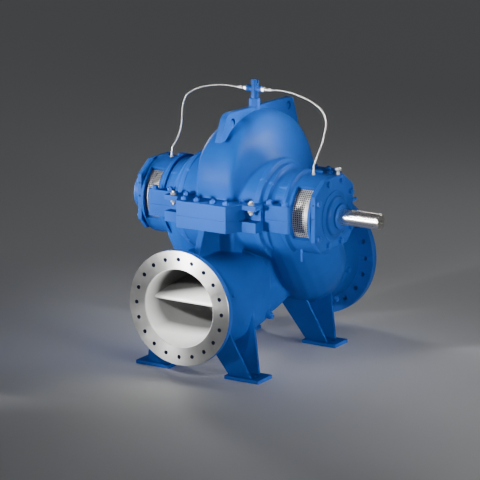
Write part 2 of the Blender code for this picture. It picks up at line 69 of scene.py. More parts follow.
DATUM = Vector((middle("lifting_plate", 0), middle("shaft", 1), middle("shaft", 2)))
DISCHARGE_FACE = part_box("discharge_flange")[0][1] - DATUM.y
SUCTION_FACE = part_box("suction_flange")[1][1] - DATUM.y
DROP = middle("discharge_flange", 2) - DATUM.z
DRIVE_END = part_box("shaft")[1][0] - DATUM.x
FREE_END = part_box("bearing_cover_free")[0][0] - DATUM.x
FLOOR = -DATUM.z


LENGTH = {"unit": "LENGTH", "subtype": "DISTANCE"}
COLOUR = {"subtype": "COLOR", "size": 4, "min": 0.0, "max": 1.0}


class PumpSizes(bpy.types.PropertyGroup):
    fillet: FloatProperty(
        name="Casting fillet", description="Smoothing passes where cast walls meet",
        default=9.0, min=1.0, max=40.0)
    grain: FloatProperty(
        name="Casting grain", description="Size of the cells that the castings are blended with",
        default=0.008, min=0.004, max=0.03, **LENGTH)
    edge: FloatProperty(
        name="Machined edge", description="Chamfer width that each piece takes its share of",
        default=0.003, min=0.0005, max=0.02, **LENGTH)
    flange_holes: IntProperty(
        name="Flange bolt holes", description="Bolt holes in each nozzle flange",
        default=20, min=4, max=60)
    tube: FloatProperty(
        name="Flush tube diameter", description="Outer diameter of the braided flush tubes",
        default=0.012, min=0.004, max=0.03, **LENGTH)
    guard_pitch: FloatProperty(
        name="Guard pitch", description="Distance between the holes of the window guards",
        default=0.0135, min=0.005, max=0.03, **LENGTH)


class PumpColours(bpy.types.PropertyGroup):
    paint: FloatVectorProperty(
        name="Casing paint", description="Enamel on the castings",
        default=(0.010, 0.077, 0.350, 1.0), **COLOUR)
    primer: FloatVectorProperty(
        name="Flange primer", description="Pale coating in the discharge waterway",
        default=(0.90, 0.90, 0.885, 1.0), **COLOUR)
    steel: FloatVectorProperty(
        name="Shaft steel", description="Turned steel of the shaft",
        default=(0.74, 0.72, 0.68, 1.0), **COLOUR)
    stainless: FloatVectorProperty(
        name="Stainless", description="Fittings, guards and screws",
        default=(0.70, 0.69, 0.66, 1.0), **COLOUR)


def sizes():
    return bpy.context.scene.pump_sizes


def colours():
    return bpy.context.scene.pump_colours


# ---- working on one object at a time


def pick(obj):
    bpy.ops.object.select_all(action="DESELECT")
    obj.select_set(True)
    bpy.context.view_layer.objects.active = obj
    return obj


def settle(obj):
    """Puts the object's place, turn and size into its mesh."""
    pick(obj)
    bpy.ops.object.transform_apply(location=True, rotation=True, scale=True)
    return obj


def added(name, data):
    """A new object of the scene."""
    obj = bpy.data.objects.new(name, data)
    bpy.context.scene.collection.objects.link(obj)
    return obj


def edit(obj, kind="VERT", select="DESELECT"):
    pick(obj)
    bpy.ops.object.mode_set(mode="EDIT")
    bpy.ops.mesh.select_mode(type=kind)
    bpy.ops.mesh.select_all(action=select)


def leave():
    bpy.ops.object.mode_set(mode="OBJECT")


def select_where(obj, kind, test):
    """Selects the faces or edges whose middle passes the test, in edit mode."""
    mesh = bmesh.from_edit_mesh(obj.data)
    found = False
    for thing in mesh.faces if kind == "FACE" else mesh.edges:
        if kind == "FACE":
            spot = thing.calc_center_median()
        else:
            spot = (thing.verts[0].co + thing.verts[1].co) / 2
        if test(spot, thing):
            thing.select_set(True)
            found = True
    mesh.select_flush_mode()
    bmesh.update_edit_mesh(obj.data)
    if not found:
        raise RuntimeError(f"{obj.name}: nothing is selected")


def close_up(obj):
    """Merges doubled points and turns every face outwards."""
    edit(obj, select="SELECT")
    bpy.ops.mesh.remove_doubles(threshold=0.00002)
    bpy.ops.mesh.normals_make_consistent(inside=False)
    leave()
    return obj


def modify(obj, kind, **values):
    modifier = obj.modifiers.new(kind.title(), kind)
    for name, value in values.items():
        setattr(modifier, name, value)
    pick(obj)
    bpy.ops.object.modifier_apply(modifier=modifier.name)
    return obj


def chamfer(obj, share=1.0, segments=2):
    """Breaks the sharp edges by a share of the size for machined edges."""
    return modify(obj, "BEVEL", width=share * sizes().edge, segments=segments,
                  limit_method="ANGLE", angle_limit=math.radians(30))


def carve(obj, *tools, operation="DIFFERENCE", solver="EXACT"):
    for tool in tools:
        modify(obj, "BOOLEAN", object=tool, operation=operation, solver=solver)
        bpy.data.objects.remove(tool)
    return obj


def weld(obj, *others, solver="EXACT"):
    return carve(obj, *others, operation="UNION", solver=solver)


def gather(obj, *others):
    """Makes one object of several, each keeping its own faces."""
    pick(obj)
    for other in others:
        other.select_set(True)
    bpy.ops.object.join()
    return obj


def copied(obj, matrix):
    """A copy with its own mesh, moved by a matrix about the datum."""
    other = obj.copy()
    other.data = obj.data.copy()
    bpy.context.scene.collection.objects.link(other)
    other.matrix_world = matrix @ obj.matrix_world
    settle(other)
    if matrix.determinant() < 0:
        close_up(other)
    return other


MIRROR = Matrix.Scale(-1, 4, (1, 0, 0))
REAR = Matrix.Scale(-1, 4, (0, 1, 0))


def draw(points, close=False, fill=False):
    """An outline drawn point by point, each one pulled out of the last."""
    bpy.ops.mesh.primitive_plane_add(size=0.001, location=points[0])
    obj = settle(bpy.context.object)
    edit(obj, select="SELECT")
    bpy.ops.mesh.merge(type="CENTER")
    for before, point in zip(points, points[1:]):
        step = Vector(point) - Vector(before)
        bpy.ops.mesh.extrude_vertices_move(TRANSFORM_OT_translate={"value": step})
    if close or fill:
        mesh = bmesh.from_edit_mesh(obj.data)
        bpy.ops.mesh.select_all(action="DESELECT")
        for vert in mesh.verts:
            if len(vert.link_edges) == 1:
                vert.select_set(True)
        bpy.ops.mesh.edge_face_add()
    if fill:
        bpy.ops.mesh.select_all(action="SELECT")
        bpy.ops.mesh.edge_face_add()
    leave()
    return obj


def plate(points, offset):
    """A filled outline pulled out to a plate or block, along the offset."""
    obj = draw(points, fill=True)
    edit(obj, select="SELECT")
    bpy.ops.mesh.extrude_region_move(TRANSFORM_OT_translate={"value": offset})
    leave()
    return close_up(obj)


AXES = {"X": (1, 0, 0), "Y": (0, 1, 0), "Z": (0, 0, 1)}


def turned(profile, axis="X", centre=(0, 0, 0), steps=64, ring=False, side=1):
    """A profile of (along, radius) spun about an axis: open where it meets the axis."""
    centre = Vector(centre)
    along = Vector(AXES[axis])
    out = Vector((0, 0, 1)) if axis != "Z" else Vector((0, -1, 0))
    obj = draw([centre + along * (side * a) + out * r for a, r in profile], close=ring)
    edit(obj, select="SELECT")
    bpy.ops.mesh.spin(steps=steps, angle=2 * math.pi, center=centre, axis=along)
    leave()
    return close_up(obj)


def block(low, high):
    low, high = Vector(low), Vector(high)
    bpy.ops.mesh.primitive_cube_add(size=1, location=(low + high) / 2, scale=high - low)
    return settle(bpy.context.object)


def cylinder(start, end, radius, sides=32):
    start, end = Vector(start), Vector(end)
    turn = (end - start).to_track_quat("Z", "Y").to_euler()
    bpy.ops.mesh.primitive_cylinder_add(
        vertices=sides, radius=radius, depth=(end - start).length,
        location=(start + end) / 2, rotation=turn)
    return settle(bpy.context.object)


def hexagon(across, height):
    """A hexagon standing on the origin along +Z, the corners of its top turned off."""
    corner = across / math.sqrt(3)
    flat = across * 0.485
    cone = turned([(-0.01, 0), (-0.01, corner + 0.002), (height - (corner - flat) * 0.6, corner),
                   (height, flat), (height, 0)], "Z", steps=24)
    prism = cylinder((0, 0, 0), (0, 0, height + 0.01), corner, 6)
    return carve(prism, cone, operation="INTERSECT")


def nut(across, height, washer=0.003, stud=0.006):
    """A nut on its washer, with the end of the stud standing out of it."""
    rim = across * 0.62
    ring = turned([(0, 0), (0, rim), (washer - 0.0008, rim), (washer, rim - 0.0008), (washer, 0)],
                  "Z", steps=24)
    head = hexagon(across, height)
    head.location.z = washer
    settle(head)
    if not stud:
        return gather(ring, head)
    top, radius = washer + height + stud, across * 0.3
    end = turned([(washer, 0), (washer, radius), (top - 0.002, radius), (top, radius - 0.002),
                  (top, 0)], "Z", steps=20)
    return gather(ring, head, end)


def repeated(pattern, spots, axis=(0, 0, 1)):
    """Copies of a pattern made along +Z, one stood on each spot, as one object."""
    turn = Vector(axis).to_track_quat("Z", "Y").to_matrix().to_4x4()
    copies = [copied(pattern, Matrix.Translation(spot) @ turn) for spot in spots]
    bpy.data.objects.remove(pattern)
    return gather(*copies)


def pipe(name, points, radius, resolution):
    """A capped curve with round walls through the points."""
    curve = bpy.data.curves.new(name, "CURVE")
    curve.dimensions = "3D"
    curve.bevel_depth = radius
    curve.bevel_resolution = resolution
    curve.use_fill_caps = True
    spline = curve.splines.new("POLY")
    spline.points.add(len(points) - 1)
    for spot, point in zip(spline.points, points):
        spot.co = (*point, 1)
    return added(name, curve)


def loft(loops):
    """A closed skin through loops of points, for the scroll shapes no operator can sweep."""
    count = len(loops[0])
    verts = [tuple(point) for loop in loops for point in loop]
    faces = [tuple(range(count)), tuple(range(len(verts) - count, len(verts)))]
    for level in range(len(loops) - 1):
        low = level * count
        for i in range(count):
            j = (i + 1) % count
            faces.append((low + i, low + j, low + count + j, low + count + i))
    mesh = bpy.data.meshes.new("skin")
    mesh.from_pydata(verts, [], faces)
    return close_up(added("skin", mesh))


# The material slot of each finish that isn't the blue paint
SLOTS = {"turned_steel": "bright_steel", "stainless": "stainless", "guard_sheet": "guard_steel",
         "pale_primer": "grey_primer"}


def place(obj, name, finish, body="housing", replaces=(), smooth=35, slot=None):
    """Names a finished piece, sets it in its place, hangs it on its body and hides the frame's
    parts that it replaces.
    """
    obj.name = obj.data.name = name
    obj.location = obj.location + DATUM
    settle(obj)
    bpy.ops.object.shade_smooth_by_angle(angle=math.radians(smooth))
    modify(obj, "WEIGHTED_NORMAL", keep_sharp=True)
    if finish:
        coat(obj, finish)
    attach(obj, body)
    slot = slot or SLOTS.get(finish, "blue_paint")
    if replaces:
        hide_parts(*replaces)
    return obj


def coat(obj, finish, *others):
    """Gives the piece a finish, and the faces that pass the test of each other finish that one."""
    obj.data.materials.clear()
    obj.data.materials.append(bpy.data.materials[finish])
    for index, (name, test) in enumerate(others, 1):
        obj.data.materials.append(bpy.data.materials[name])
        edit(obj, "FACE")
        select_where(obj, "FACE", test)
        obj.active_material_index = index
        bpy.ops.object.material_slot_assign()
        leave()


# ---- finishes


class Recipe:
    """A Principled material with its nodes added one by one."""

    def __init__(self, name, colour, roughness, metallic=0.0):
        self.material = bpy.data.materials.new(name)
        self.material.use_nodes = True
        self.tree = self.material.node_tree
        self.shader = self.tree.nodes["Principled BSDF"]
        self.feed(self.shader, {"Base Color": colour, "Roughness": roughness,
                                "Metallic": metallic})
        self.where = self.node("TexCoord").outputs["Object"]
        self.last_normal = None

    def feed(self, node, inputs):
        """Gives inputs of a node their numbers or colours, or the sockets that they follow."""
        for name, value in inputs.items():
            if isinstance(value, bpy.types.NodeSocket):
                self.tree.links.new(value, node.inputs[name])
            else:
                node.inputs[name].default_value = value

    def node(self, kind, inputs=None, **settings):
        node = self.tree.nodes.new("ShaderNode" + kind)
        for name, value in settings.items():
            setattr(node, name, value)
        self.feed(node, inputs or {})
        return node

    def stretched(self, scale, centre=(0, 0, 0)):
        return self.node("Mapping", {
            "Vector": self.where, "Scale": scale,
            "Location": [-c * s for c, s in zip(centre, scale)]}).outputs["Vector"]

    def noise(self, scale, detail=4.0, rough=0.55, vector=None):
        return self.node("TexNoise", {
            "Vector": vector or self.where, "Scale": scale, "Detail": detail,
            "Roughness": rough}).outputs["Fac"]

    def ramp(self, value, low, high, start, end):
        return self.node("MapRange", {
            "Value": value, "From Min": low, "From Max": high,
            "To Min": start, "To Max": end}).outputs["Result"]

    def mix(self, factor, first, second):
        """Colours mixed by a factor; each is four numbers or another mix."""
        return self.node("Mix", {"Factor": factor, 6: first, 7: second},
                         data_type="RGBA").outputs[2]

    def mottled(self, scale, detail, spread, first, second, most=1):
        """Two colours in soft patches; the spread is the noise between which they change."""
        return self.mix(self.ramp(self.noise(scale, detail), *spread, 0, most), first, second)

    def edges(self):
        """Rises along convex edges: the mask of the painted edge highlight."""
        return self.ramp(self.node("NewGeometry").outputs["Pointiness"], 0.52, 0.62, 0.0, 1.0)

    def bump(self, height, strength, distance):
        node = self.node("Bump", {"Strength": strength, "Distance": distance, "Height": height})
        if self.last_normal:
            self.feed(node, {"Normal": self.last_normal})
        self.last_normal = node.outputs["Normal"]
        self.feed(self.shader, {"Normal": self.last_normal})

    def colour(self, socket):
        self.feed(self.shader, {"Base Color": socket})

    def sheen(self, noise, low, high):
        """Roughness that wanders between two values."""
        self.feed(self.shader, {"Roughness": self.ramp(noise, 0.3, 0.7, low, high)})


def tinted(colour, factor, lift=0.0):
    return [min(1.0, c * factor + lift) for c in colour[:3]] + [1.0]


# The part of a noise over which a mottled paint changes colour
EVEN, NARROW = (0.3, 0.7), (0.35, 0.65)
# Painted shade in the waterway, darker away from its lit side: how the painted shade leans, and
# its start and end
SHADE_LEAN = 0.7
SHADE = (-0.635, -0.43)


class PUMP_OT_finishes(bpy.types.Operator):
    """Mixes the paint, primer and metals that the pump's pieces are finished in"""
    bl_idname = "pump.finishes"
    bl_label = "Finishes"

    def execute(self, context):
        c = colours()
        for name, gloss, specular, patch, dim, bright, lift, fine, sheen, relief in (
                ("cast_enamel", 0.42, 0.04, 3.2, 0.90, 1.10, 0.015, (46.0, 5.0), (0.37, 0.48),
                 (((34.0, 4.0, 0.6), 0.16, 0.0016), ((330.0, 2.0), 0.10, 0.0004))),
                ("machined_enamel", 0.38, 0.12, 5.0, 0.95, 1.12, 0.012, (60.0, 4.0), (0.32, 0.42),
                 (((240.0, 3.0), 0.10, 0.0005),))):
            paint = Recipe(name, c.paint, gloss)
            paint.feed(paint.shader, {"Specular IOR Level": specular})
            tone = paint.mottled(patch, 3.0, NARROW, tinted(c.paint, dim), tinted(c.paint, bright))
            # Painted highlight: convex edges are lighter, as where they catch the light
            paint.colour(paint.mix(paint.edges(), tone, tinted(c.paint, 1.5, lift)))
            paint.sheen(paint.noise(*fine), *sheen)
            for grain, strength, distance in relief:
                paint.bump(paint.noise(*grain), strength, distance)

        # Painted shade: a near-black blue for the faces deep inside the brackets and housings, the
        # bolt hole walls of the discharge flange and the seal glands, where shade falls
        inside = Recipe("shade_painted_enamel", tinted(c.paint, 0.10, 0.002), 0.6)
        inside.sheen(inside.noise(60.0, 3.0), 0.5, 0.7)
        inside.bump(inside.noise(120.0, 3.0), 0.10, 0.0006)

        primer = Recipe("pale_primer", c.primer, 0.48)
        tone = primer.mottled(7.0, 4.0, EVEN, tinted(c.primer, 0.93), tinted(c.primer, 1.06))
        tone = primer.mottled(420.0, 2.0, (0.55, 0.72), tone, tinted(c.primer, 0.80), 0.5)
        # Painted shade: the waterway darkens deeper in and toward its wall on the free-end side,
        # like a shadow cast by a light from that side; its floor keeps painted light longer, and
        # the painted shade is darker in the upper half of the bore
        spot = primer.node("SeparateXYZ", {"Vector": primer.where}).outputs
        leaning = primer.node("Math", {0: spot["X"], 1: -SHADE_LEAN, 2: spot["Y"]},
                              operation="MULTIPLY_ADD")
        axis = DATUM.z + DROP
        lit_floor = primer.ramp(spot["Z"], axis - 0.245, axis - 0.15, -0.17, 0)
        depth = primer.node("Math", {0: leaning.outputs[0], 1: lit_floor}).outputs[0]
        shift = DATUM.y - SHADE_LEAN * DATUM.x
        waterway_painted_shade = primer.mix(primer.ramp(spot["Z"], axis - 0.02, axis + 0.02, 0, 1),
                           tinted(c.primer, 0.12), tinted(c.primer, 0.05))
        primer.colour(primer.mix(
            primer.ramp(depth, shift + SHADE[0], shift + SHADE[1], 0, 1), tone, waterway_painted_shade))
        primer.sheen(primer.noise(90.0, 3.0), 0.42, 0.58)
        primer.bump(primer.noise(160.0, 4.0), 0.12, 0.0007)

        for name, colour, rough, metallic in (
                ("turned_steel", c.steel, 0.26, 1.0), ("stainless", c.stainless, 0.30, 1.0),
                ("guard_sheet", tinted(c.stainless, 1.1), 0.42, 0.45)):
            metal = Recipe(name, colour, rough, metallic)
            streaks = metal.noise(60.0, 3.0, 0.6, metal.stretched((14.0, 1.0, 1.0)))
            metal.colour(metal.mottled(9.0, 3.0, EVEN, tinted(colour, 0.90), tinted(colour, 1.06)))
            metal.sheen(streaks, rough - 0.07, rough + 0.10)
            metal.bump(streaks, 0.12, 0.0003)

        # Roughness is larger along the tangent, so a face turned in rings needs a quarter turn
        faced = Recipe("faced_iron", (0.56, 0.56, 0.55, 1.0), 0.38, 1.0)
        tangent = faced.node("Tangent", direction_type="RADIAL", axis="Y").outputs["Tangent"]
        faced.feed(faced.shader, {"Anisotropic": 0.85, "Anisotropic Rotation": 0.25,
                                  "Tangent": tangent})
        rings = faced.node("TexWave", {
            "Vector": faced.stretched((1, 1, 1), (DATUM.x, DATUM.y, DATUM.z + DROP)),
            "Scale": 60.0, "Distortion": 0.4}, wave_type="RINGS", rings_direction="Y")
        faced.colour(faced.mottled(11.0, 4.0, EVEN, (0.52, 0.52, 0.505, 1.0),
                                   (0.60, 0.60, 0.59, 1.0)))
        faced.sheen(faced.noise(70.0, 3.0), 0.34, 0.44)
        faced.bump(rings.outputs["Fac"], 0.10, 0.0004)
        faced.bump(faced.noise(180.0, 3.0), 0.05, 0.0004)

        dark = Recipe("black_oxide", (0.018, 0.018, 0.020, 1.0), 0.45, 0.6)
        dark.sheen(dark.noise(120.0, 3.0), 0.36, 0.6)
        dark.bump(dark.noise(300.0, 2.0), 0.1, 0.0003)
        return {"FINISHED"}


# ---- the stage

LENS = 191.31
CAMERA_SPOT = (8.27138, -13.44998, 3.59339)
CAMERA_TURN = (76.353, 0.0, 31.667)
SKY = (0.93, 0.96, 1.0, 1.0)
SKY_STRENGTH = 0.08
# Area lights: azimuth and elevation, the point they are aimed at, size, spread, power
LIGHT_DISTANCE = 6.0
LIGHTS = {
    "key": (-25, 2, (-0.05, -0.4, 1.20), 0.9, 22, 16.0),
    "left": (-60, 6, (-0.70, -0.2, 1.0), 0.6, 9, 3.5),
    "shaft_light": (-36, 27, (0.75, -0.15, 0.98), 0.8, 8, 1.1),
    "side": (95, 25, (0, 0, 0.95), 1.6, 180, 14.0),
    "side_low": (62, 4, (0.2, 0, 0.60), 1.4, 40, 11.0),
    "side_legs": (86, 10, (0.3, -0.1, 0.30), 1.0, 15, 2.2),
    "flank": (128, 30, (0.1, -0.2, 1.65), 0.7, 11, 7.0),
    "back": (175, 40, (0, 0, 0.95), 1.6, 180, 22.0),
    "rim": (-115, 12, (0, 0, 1.2), 1.2, 40, 10.0),
}
# Spotlights into the discharge bore: place and power
SNOOT_CONE = 7.5
SNOOTS = {"snoot": ((1.1, -4.6, 2.7), 2700.0), "low_snoot": ((1.6, -5.6, 0.3), 650.0)}


class PUMP_OT_stage(bpy.types.Operator):
    """Sets the floor, the studio lights and the camera"""
    bl_idname = "pump.stage"
    bl_label = "Stage"

    def execute(self, context):
        data = bpy.data.cameras.new("camera")
        data.lens = LENS
        data.sensor_width = 36.0
        data.clip_end = 100.0
        camera = added("camera", data)
        camera.location = Vector(CAMERA_SPOT) + DATUM
        camera.rotation_euler = [math.radians(a) for a in CAMERA_TURN]
        context.scene.camera = camera

        bpy.ops.mesh.primitive_plane_add(size=60, location=(0, 0, 0))
        floor = bpy.context.object
        floor.name = "floor"
        pale = Recipe("floor_grey", (0.80, 0.80, 0.80, 1.0), 0.7)
        floor.data.materials.append(pale.material)

        world = bpy.data.worlds.new("studio")
        world.use_nodes = True
        sky = world.node_tree.nodes["Background"].inputs
        sky["Color"].default_value = SKY
        sky["Strength"].default_value = SKY_STRENGTH
        context.scene.world = world
        for name, (around, up, aim, size, spread, power) in LIGHTS.items():
            light = bpy.data.lights.new(name, "AREA")
            light.size = size
            light.spread = math.radians(spread)
            a, e = math.radians(around), math.radians(up)
            away = Vector((math.sin(a) * math.cos(e), -math.cos(a) * math.cos(e), math.sin(e)))
            self.hang(light, power, Vector(aim) + LIGHT_DISTANCE * away, aim)
        mouth = Vector((0, DISCHARGE_FACE + 0.1, DROP - 0.02)) + DATUM
        for name, (spot, power) in SNOOTS.items():
            light = bpy.data.lights.new(name, "SPOT")
            light.spot_size = math.radians(SNOOT_CONE)
            light.spot_blend = 0.6
            light.shadow_soft_size = 0.15
            self.hang(light, power, spot, mouth)
        return {"FINISHED"}

    def hang(self, light, power, spot, aim):
        light.energy = power
        lamp = added(light.name, light)
        lamp.location = spot
        lamp.rotation_euler = (Vector(aim) - Vector(spot)).to_track_quat("-Z", "Y").to_euler()


# ---- flush tubes, along the same routes as in the solids

TUBE_DRIVE = (
    (0.1286, 0.137, 0.718), (0.165, 0.135, 0.722), (0.228, 0.128, 0.723), (0.292, 0.118, 0.717),
    (0.356, 0.108, 0.705), (0.420, 0.098, 0.689), (0.476, 0.088, 0.668), (0.525, 0.078, 0.636),
    (0.556, 0.066, 0.596), (0.570, 0.054, 0.552), (0.568, 0.040, 0.507), (0.560, 0.020, 0.440),
    (0.544, 0.000, 0.378), (0.532, -0.013, 0.330), (0.526, -0.0195, 0.303),
    (0.525, -0.020, 0.2812),
)
TUBE_FREE = (
    (-0.1286, 0.137, 0.718), (-0.175, 0.135, 0.720), (-0.239, 0.128, 0.722),
    (-0.323, 0.118, 0.711), (-0.398, 0.105, 0.691), (-0.451, 0.093, 0.663), (-0.483, 0.083, 0.631),
    (-0.496, 0.074, 0.592), (-0.497, 0.062, 0.542), (-0.490, 0.046, 0.480), (-0.491, 0.028, 0.418),
    (-0.505, 0.008, 0.354), (-0.518, -0.012, 0.322), (-0.524, -0.0195, 0.303),
    (-0.525, -0.020, 0.2812),
)


def on_curve(before, a, b, after, t):
    """The spot at t, from 0 to 1, between a and b on a smooth curve through four points."""
    return 0.5 * (2 * a + (b - before) * t + (2 * before - 5 * a + 4 * b - after) * t * t
                  + (3 * a - before - 3 * b + after) * t ** 3)


def eased(route, spacing):
    """Points on a smooth curve through every point of the route."""
    points = [Vector(p) for p in route]
    smooth = []
    for i in range(len(points) - 1):
        before, a, b = points[max(i - 1, 0)], points[i], points[i + 1]
        after = points[min(i + 2, len(points) - 1)]
        pieces = max(1, round((b - a).length / spacing))
        smooth += [on_curve(before, a, b, after, k / pieces) for k in range(pieces)]
    smooth.append(points[-1])
    return smooth


class PUMP_OT_flush_tubes(bpy.types.Operator):
    """Lays the two braided flush tubes from the vent cross to the seals"""
    bl_idname = "pump.flush_tubes"
    bl_label = "Flush tubes"

    def execute(self, context):
        radius = sizes().tube / 2
        steel = colours().stainless
        braid = Recipe("steel_braid", steel, 0.34, 0.85)
        uv = braid.node("UVMap").outputs["UV"]
        strands = []
        for tilt in (0.62, -0.62):
            lay = braid.node("Mapping", {"Vector": uv, "Rotation": (0, 0, tilt)}).outputs["Vector"]
            strands.append(braid.node("TexWave", {"Vector": lay, "Scale": 60.0}).outputs["Fac"])
        peak = braid.node("Math", dict(enumerate(strands)), operation="MAXIMUM").outputs[0]
        # Painted shade and highlight: the braid is darker in the grooves between the strands and
        # lighter on their crowns
        braid.colour(braid.mix(peak, tinted(steel, 0.55), tinted(steel, 1.15)))
        braid.bump(peak, 0.5, 0.0006)
        for end, route in (("drive", TUBE_DRIVE), ("free", TUBE_FREE)):
            smooth = [DATUM + p for p in eased(route, 0.03)]
            tube = pipe("braided_tube_" + end, smooth, radius, 4)
            tube.data.splines[0].use_smooth = True
            tube.data.materials.append(braid.material)
            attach(tube, "housing")
            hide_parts("flush_tube_" + end)
        return {"FINISHED"}


# ---- castings

CROWN = (
    (-45, 0.450), (-20, 0.345), (0, 0.325), (15, 0.355), (62, 0.512), (90, 0.568),
    (115, 0.632), (145, 0.705), (180, 0.725), (225, 0.735), (270, 0.752), (290, 0.830),
)
SCROLL_HALF = ((0, 0.128), (60, 0.154), (90, 0.186), (180, 0.228), (270, 0.267))
SCROLL_FOOT = ((0, 0.290), (60, 0.303), (180, 0.312), (240, 0.440), (270, 0.500), (290, 0.450))
FLANK_TOP = ((1.46, 1.0), (1.24, 0.77), (1.08, 0.55), (0.88, 0.32), (0.53, 0.075), (0.17, 0.0))
FLANK_FRONT = ((1.30, 1.0), (1.12, 0.70), (1.02, 0.40), (0.97, 0.20), (0.86, 0.06), (0.55, 0.0))
FLANK_BOTTOM = ((0.95, 1.0), (1.00, 0.72), (0.93, 0.45), (0.75, 0.24), (0.42, 0.060), (0.12, 0.0))
JOINT_TOP = 0.094
JOINT_BOTTOM = 0.077
LUG = (0.222, 0.335)
LUG_FRONT = 0.402
LUG_BACK = 0.338
LUG_LIP = 0.062
LUG_PAD = 0.010
JACK = (0.284, 0.372)
BARREL_END = 0.434
BRACKET = 0.250
BRACKET_RIM = 0.270
BRACKET_FLANGE = 0.025
BRACKET_STEP = 0.018
BRACKET_INSIDE = 0.222
BRACKET_MOUTH = 0.190
BRACKET_LIP = 0.018
BRACKET_END = {"drive": 0.633, "free": 0.616}
WINDOW = {"drive": (0.490, 0.613), "free": (0.490, 0.597)}
WINDOW_LOW = -31.0
WINDOW_HIGH = 52.6
TUBE_FOOT = (0.525, -0.020)
PLATE = 0.030
FOOT_Y = 0.478
FOOT_BOLT = 0.395
ENDS = (("drive", 1), ("free", -1))
# Clearance between pieces that touch, and each half's share of it at the split joint
GAP = 0.0003
PARTING = GAP / 2
SHAFT = 0.050
SHAFT_BODY = 0.060
BEARING_BORE = 0.0508
# Nozzle flanges: outer, bolt circle, bolt hole and bore radius, thickness, broken edge
DISCHARGE_FLANGE = (0.365, 0.310, 0.013, 0.250, 0.044, 0.0025)
SUCTION_FLANGE = (0.4225, 0.3625, 0.015, 0.300, 0.050, 0.003)
BORE_EDGE = 0.260


def between(table, at, round_off=False):
    """A value read between the (position, value) pairs of a table."""
    if at <= table[0][0]:
        return table[0][1]
    for k, ((a, low), (b, high)) in enumerate(zip(table, table[1:])):
        if at > b:
            continue
        t = (at - a) / (b - a)
        if not round_off:
            return low + (high - low) * t
        before = table[k - 1] if k else (2 * a - b, 2 * low - high)
        after = table[k + 2] if k + 2 < len(table) else (2 * b - a, 2 * high - low)
        rise = (b - a) * (high - before[1]) / (b - before[0])
        fall = (b - a) * (after[1] - low) / (after[0] - a)
        return ((2 * t ** 3 - 3 * t * t + 1) * low + (t ** 3 - 2 * t * t + t) * rise
                + (3 * t * t - 2 * t ** 3) * high + (t ** 3 - t * t) * fall)
    return table[-1][1]


def scroll_section(angle):
    """Half of a cut through the scroll, from the core out over the shoulder to the crown."""
    crown = between(CROWN, angle, True)
    half = between(SCROLL_HALF, angle, True)
    depth = crown - between(SCROLL_FOOT, angle, True)
    low = between(((150, 0.0), (235, 1.0)), angle)
    front = between(((48, 1.0), (76, 0.0)), angle)
    cage = []
    for top, bottom, nose in zip(FLANK_TOP, FLANK_BOTTOM, FLANK_FRONT):
        wide, deep = (t + low * (b - t) + front * (n - t) for t, b, n in zip(top, bottom, nose))
        cage.append(Vector((half * wide, crown - depth * deep)))
    cage.append(Vector((0.0, crown)))
    points = [(cage[0].x + 0.012, 0.15)]
    for i in range(len(cage) - 1):
        before, a, b = cage[max(i - 1, 0)], cage[i], cage[i + 1]
        after = cage[i + 2] if i + 2 < len(cage) else Vector((-a.x, a.y))
        points += [tuple(on_curve(before, a, b, after, k / 4)) for k in range(4)]
    return points + [(0.0, crown)]


def scroll():
    start, end, step = -45, 290, 5
    loops = []
    for i in range((end - start) // step + 1):
        angle = start + i * step
        half = scroll_section(angle)
        turn = math.radians(angle)
        profile = half + [(-x, r) for x, r in reversed(half[:-1])]
        loops.append([(x, -r * math.cos(turn), r * math.sin(turn)) for x, r in profile])
    return loft(loops)


def nozzle_loops(ys):
    loops = []
    for y in ys:
        power = between(((-0.66, 2.0), (-0.52, 2.5), (-0.40, 4.2), (-0.30, 4.2)), y, True)
        half = between(((-0.66, 0.275), (-0.40, 0.268), (-0.10, 0.262)), y)
        high = between(((-0.66, 0.275), (-0.40, 0.280), (-0.30, 0.278), (-0.10, 0.235)), y)
        loop = []
        for i in range(64):
            angle = 2 * math.pi * i / 64
            c, s = math.cos(angle), math.sin(angle)
            loop.append((half * math.copysign(abs(c) ** (2 / power), c), y,
                         DROP + high * math.copysign(abs(s) ** (2 / power), s)))
        loops.append(loop)
    return loops


LOBE = (
    (0.325, -0.050, 0.060, 0.220), (0.332, -0.030, -0.020, 0.235), (0.342, 0.030, -0.110, 0.240),
    (0.348, 0.100, -0.215, 0.247), (0.335, 0.190, -0.315, 0.254), (0.290, 0.295, -0.385, 0.257),
    (0.225, 0.400, -0.430, 0.260), (0.150, 0.510, -0.470, 0.268), (0.085, 0.615, -0.500, 0.282),
    (0.031, 0.715, -0.515, 0.290),
)


def suction_lobe():
    """One branch of the suction chamber: a curve with its own radius at each point."""
    points = eased([(x, y, z) for x, y, z, _ in LOBE], 0.03)
    radii = eased([(r, 0, 0) for *_, r in LOBE], 1.0)
    walked = [0.0]
    for a, b in zip(points, points[1:]):
        walked.append(walked[-1] + (b - a).length)
    stops = [0.0]
    for a, b in zip(LOBE, LOBE[1:]):
        stops.append(stops[-1] + (Vector(b[:3]) - Vector(a[:3])).length)
    scale = walked[-1] / stops[-1]
    table = [(s * scale, r.x) for s, r in zip(stops, radii)]
    obj = pipe("lobe", points, 1.0, 10)
    for spot, at in zip(obj.data.splines[0].points, walked):
        spot.radius = between(table, at, True)
    pick(obj)
    bpy.ops.object.convert(target="MESH")
    return close_up(bpy.context.object)


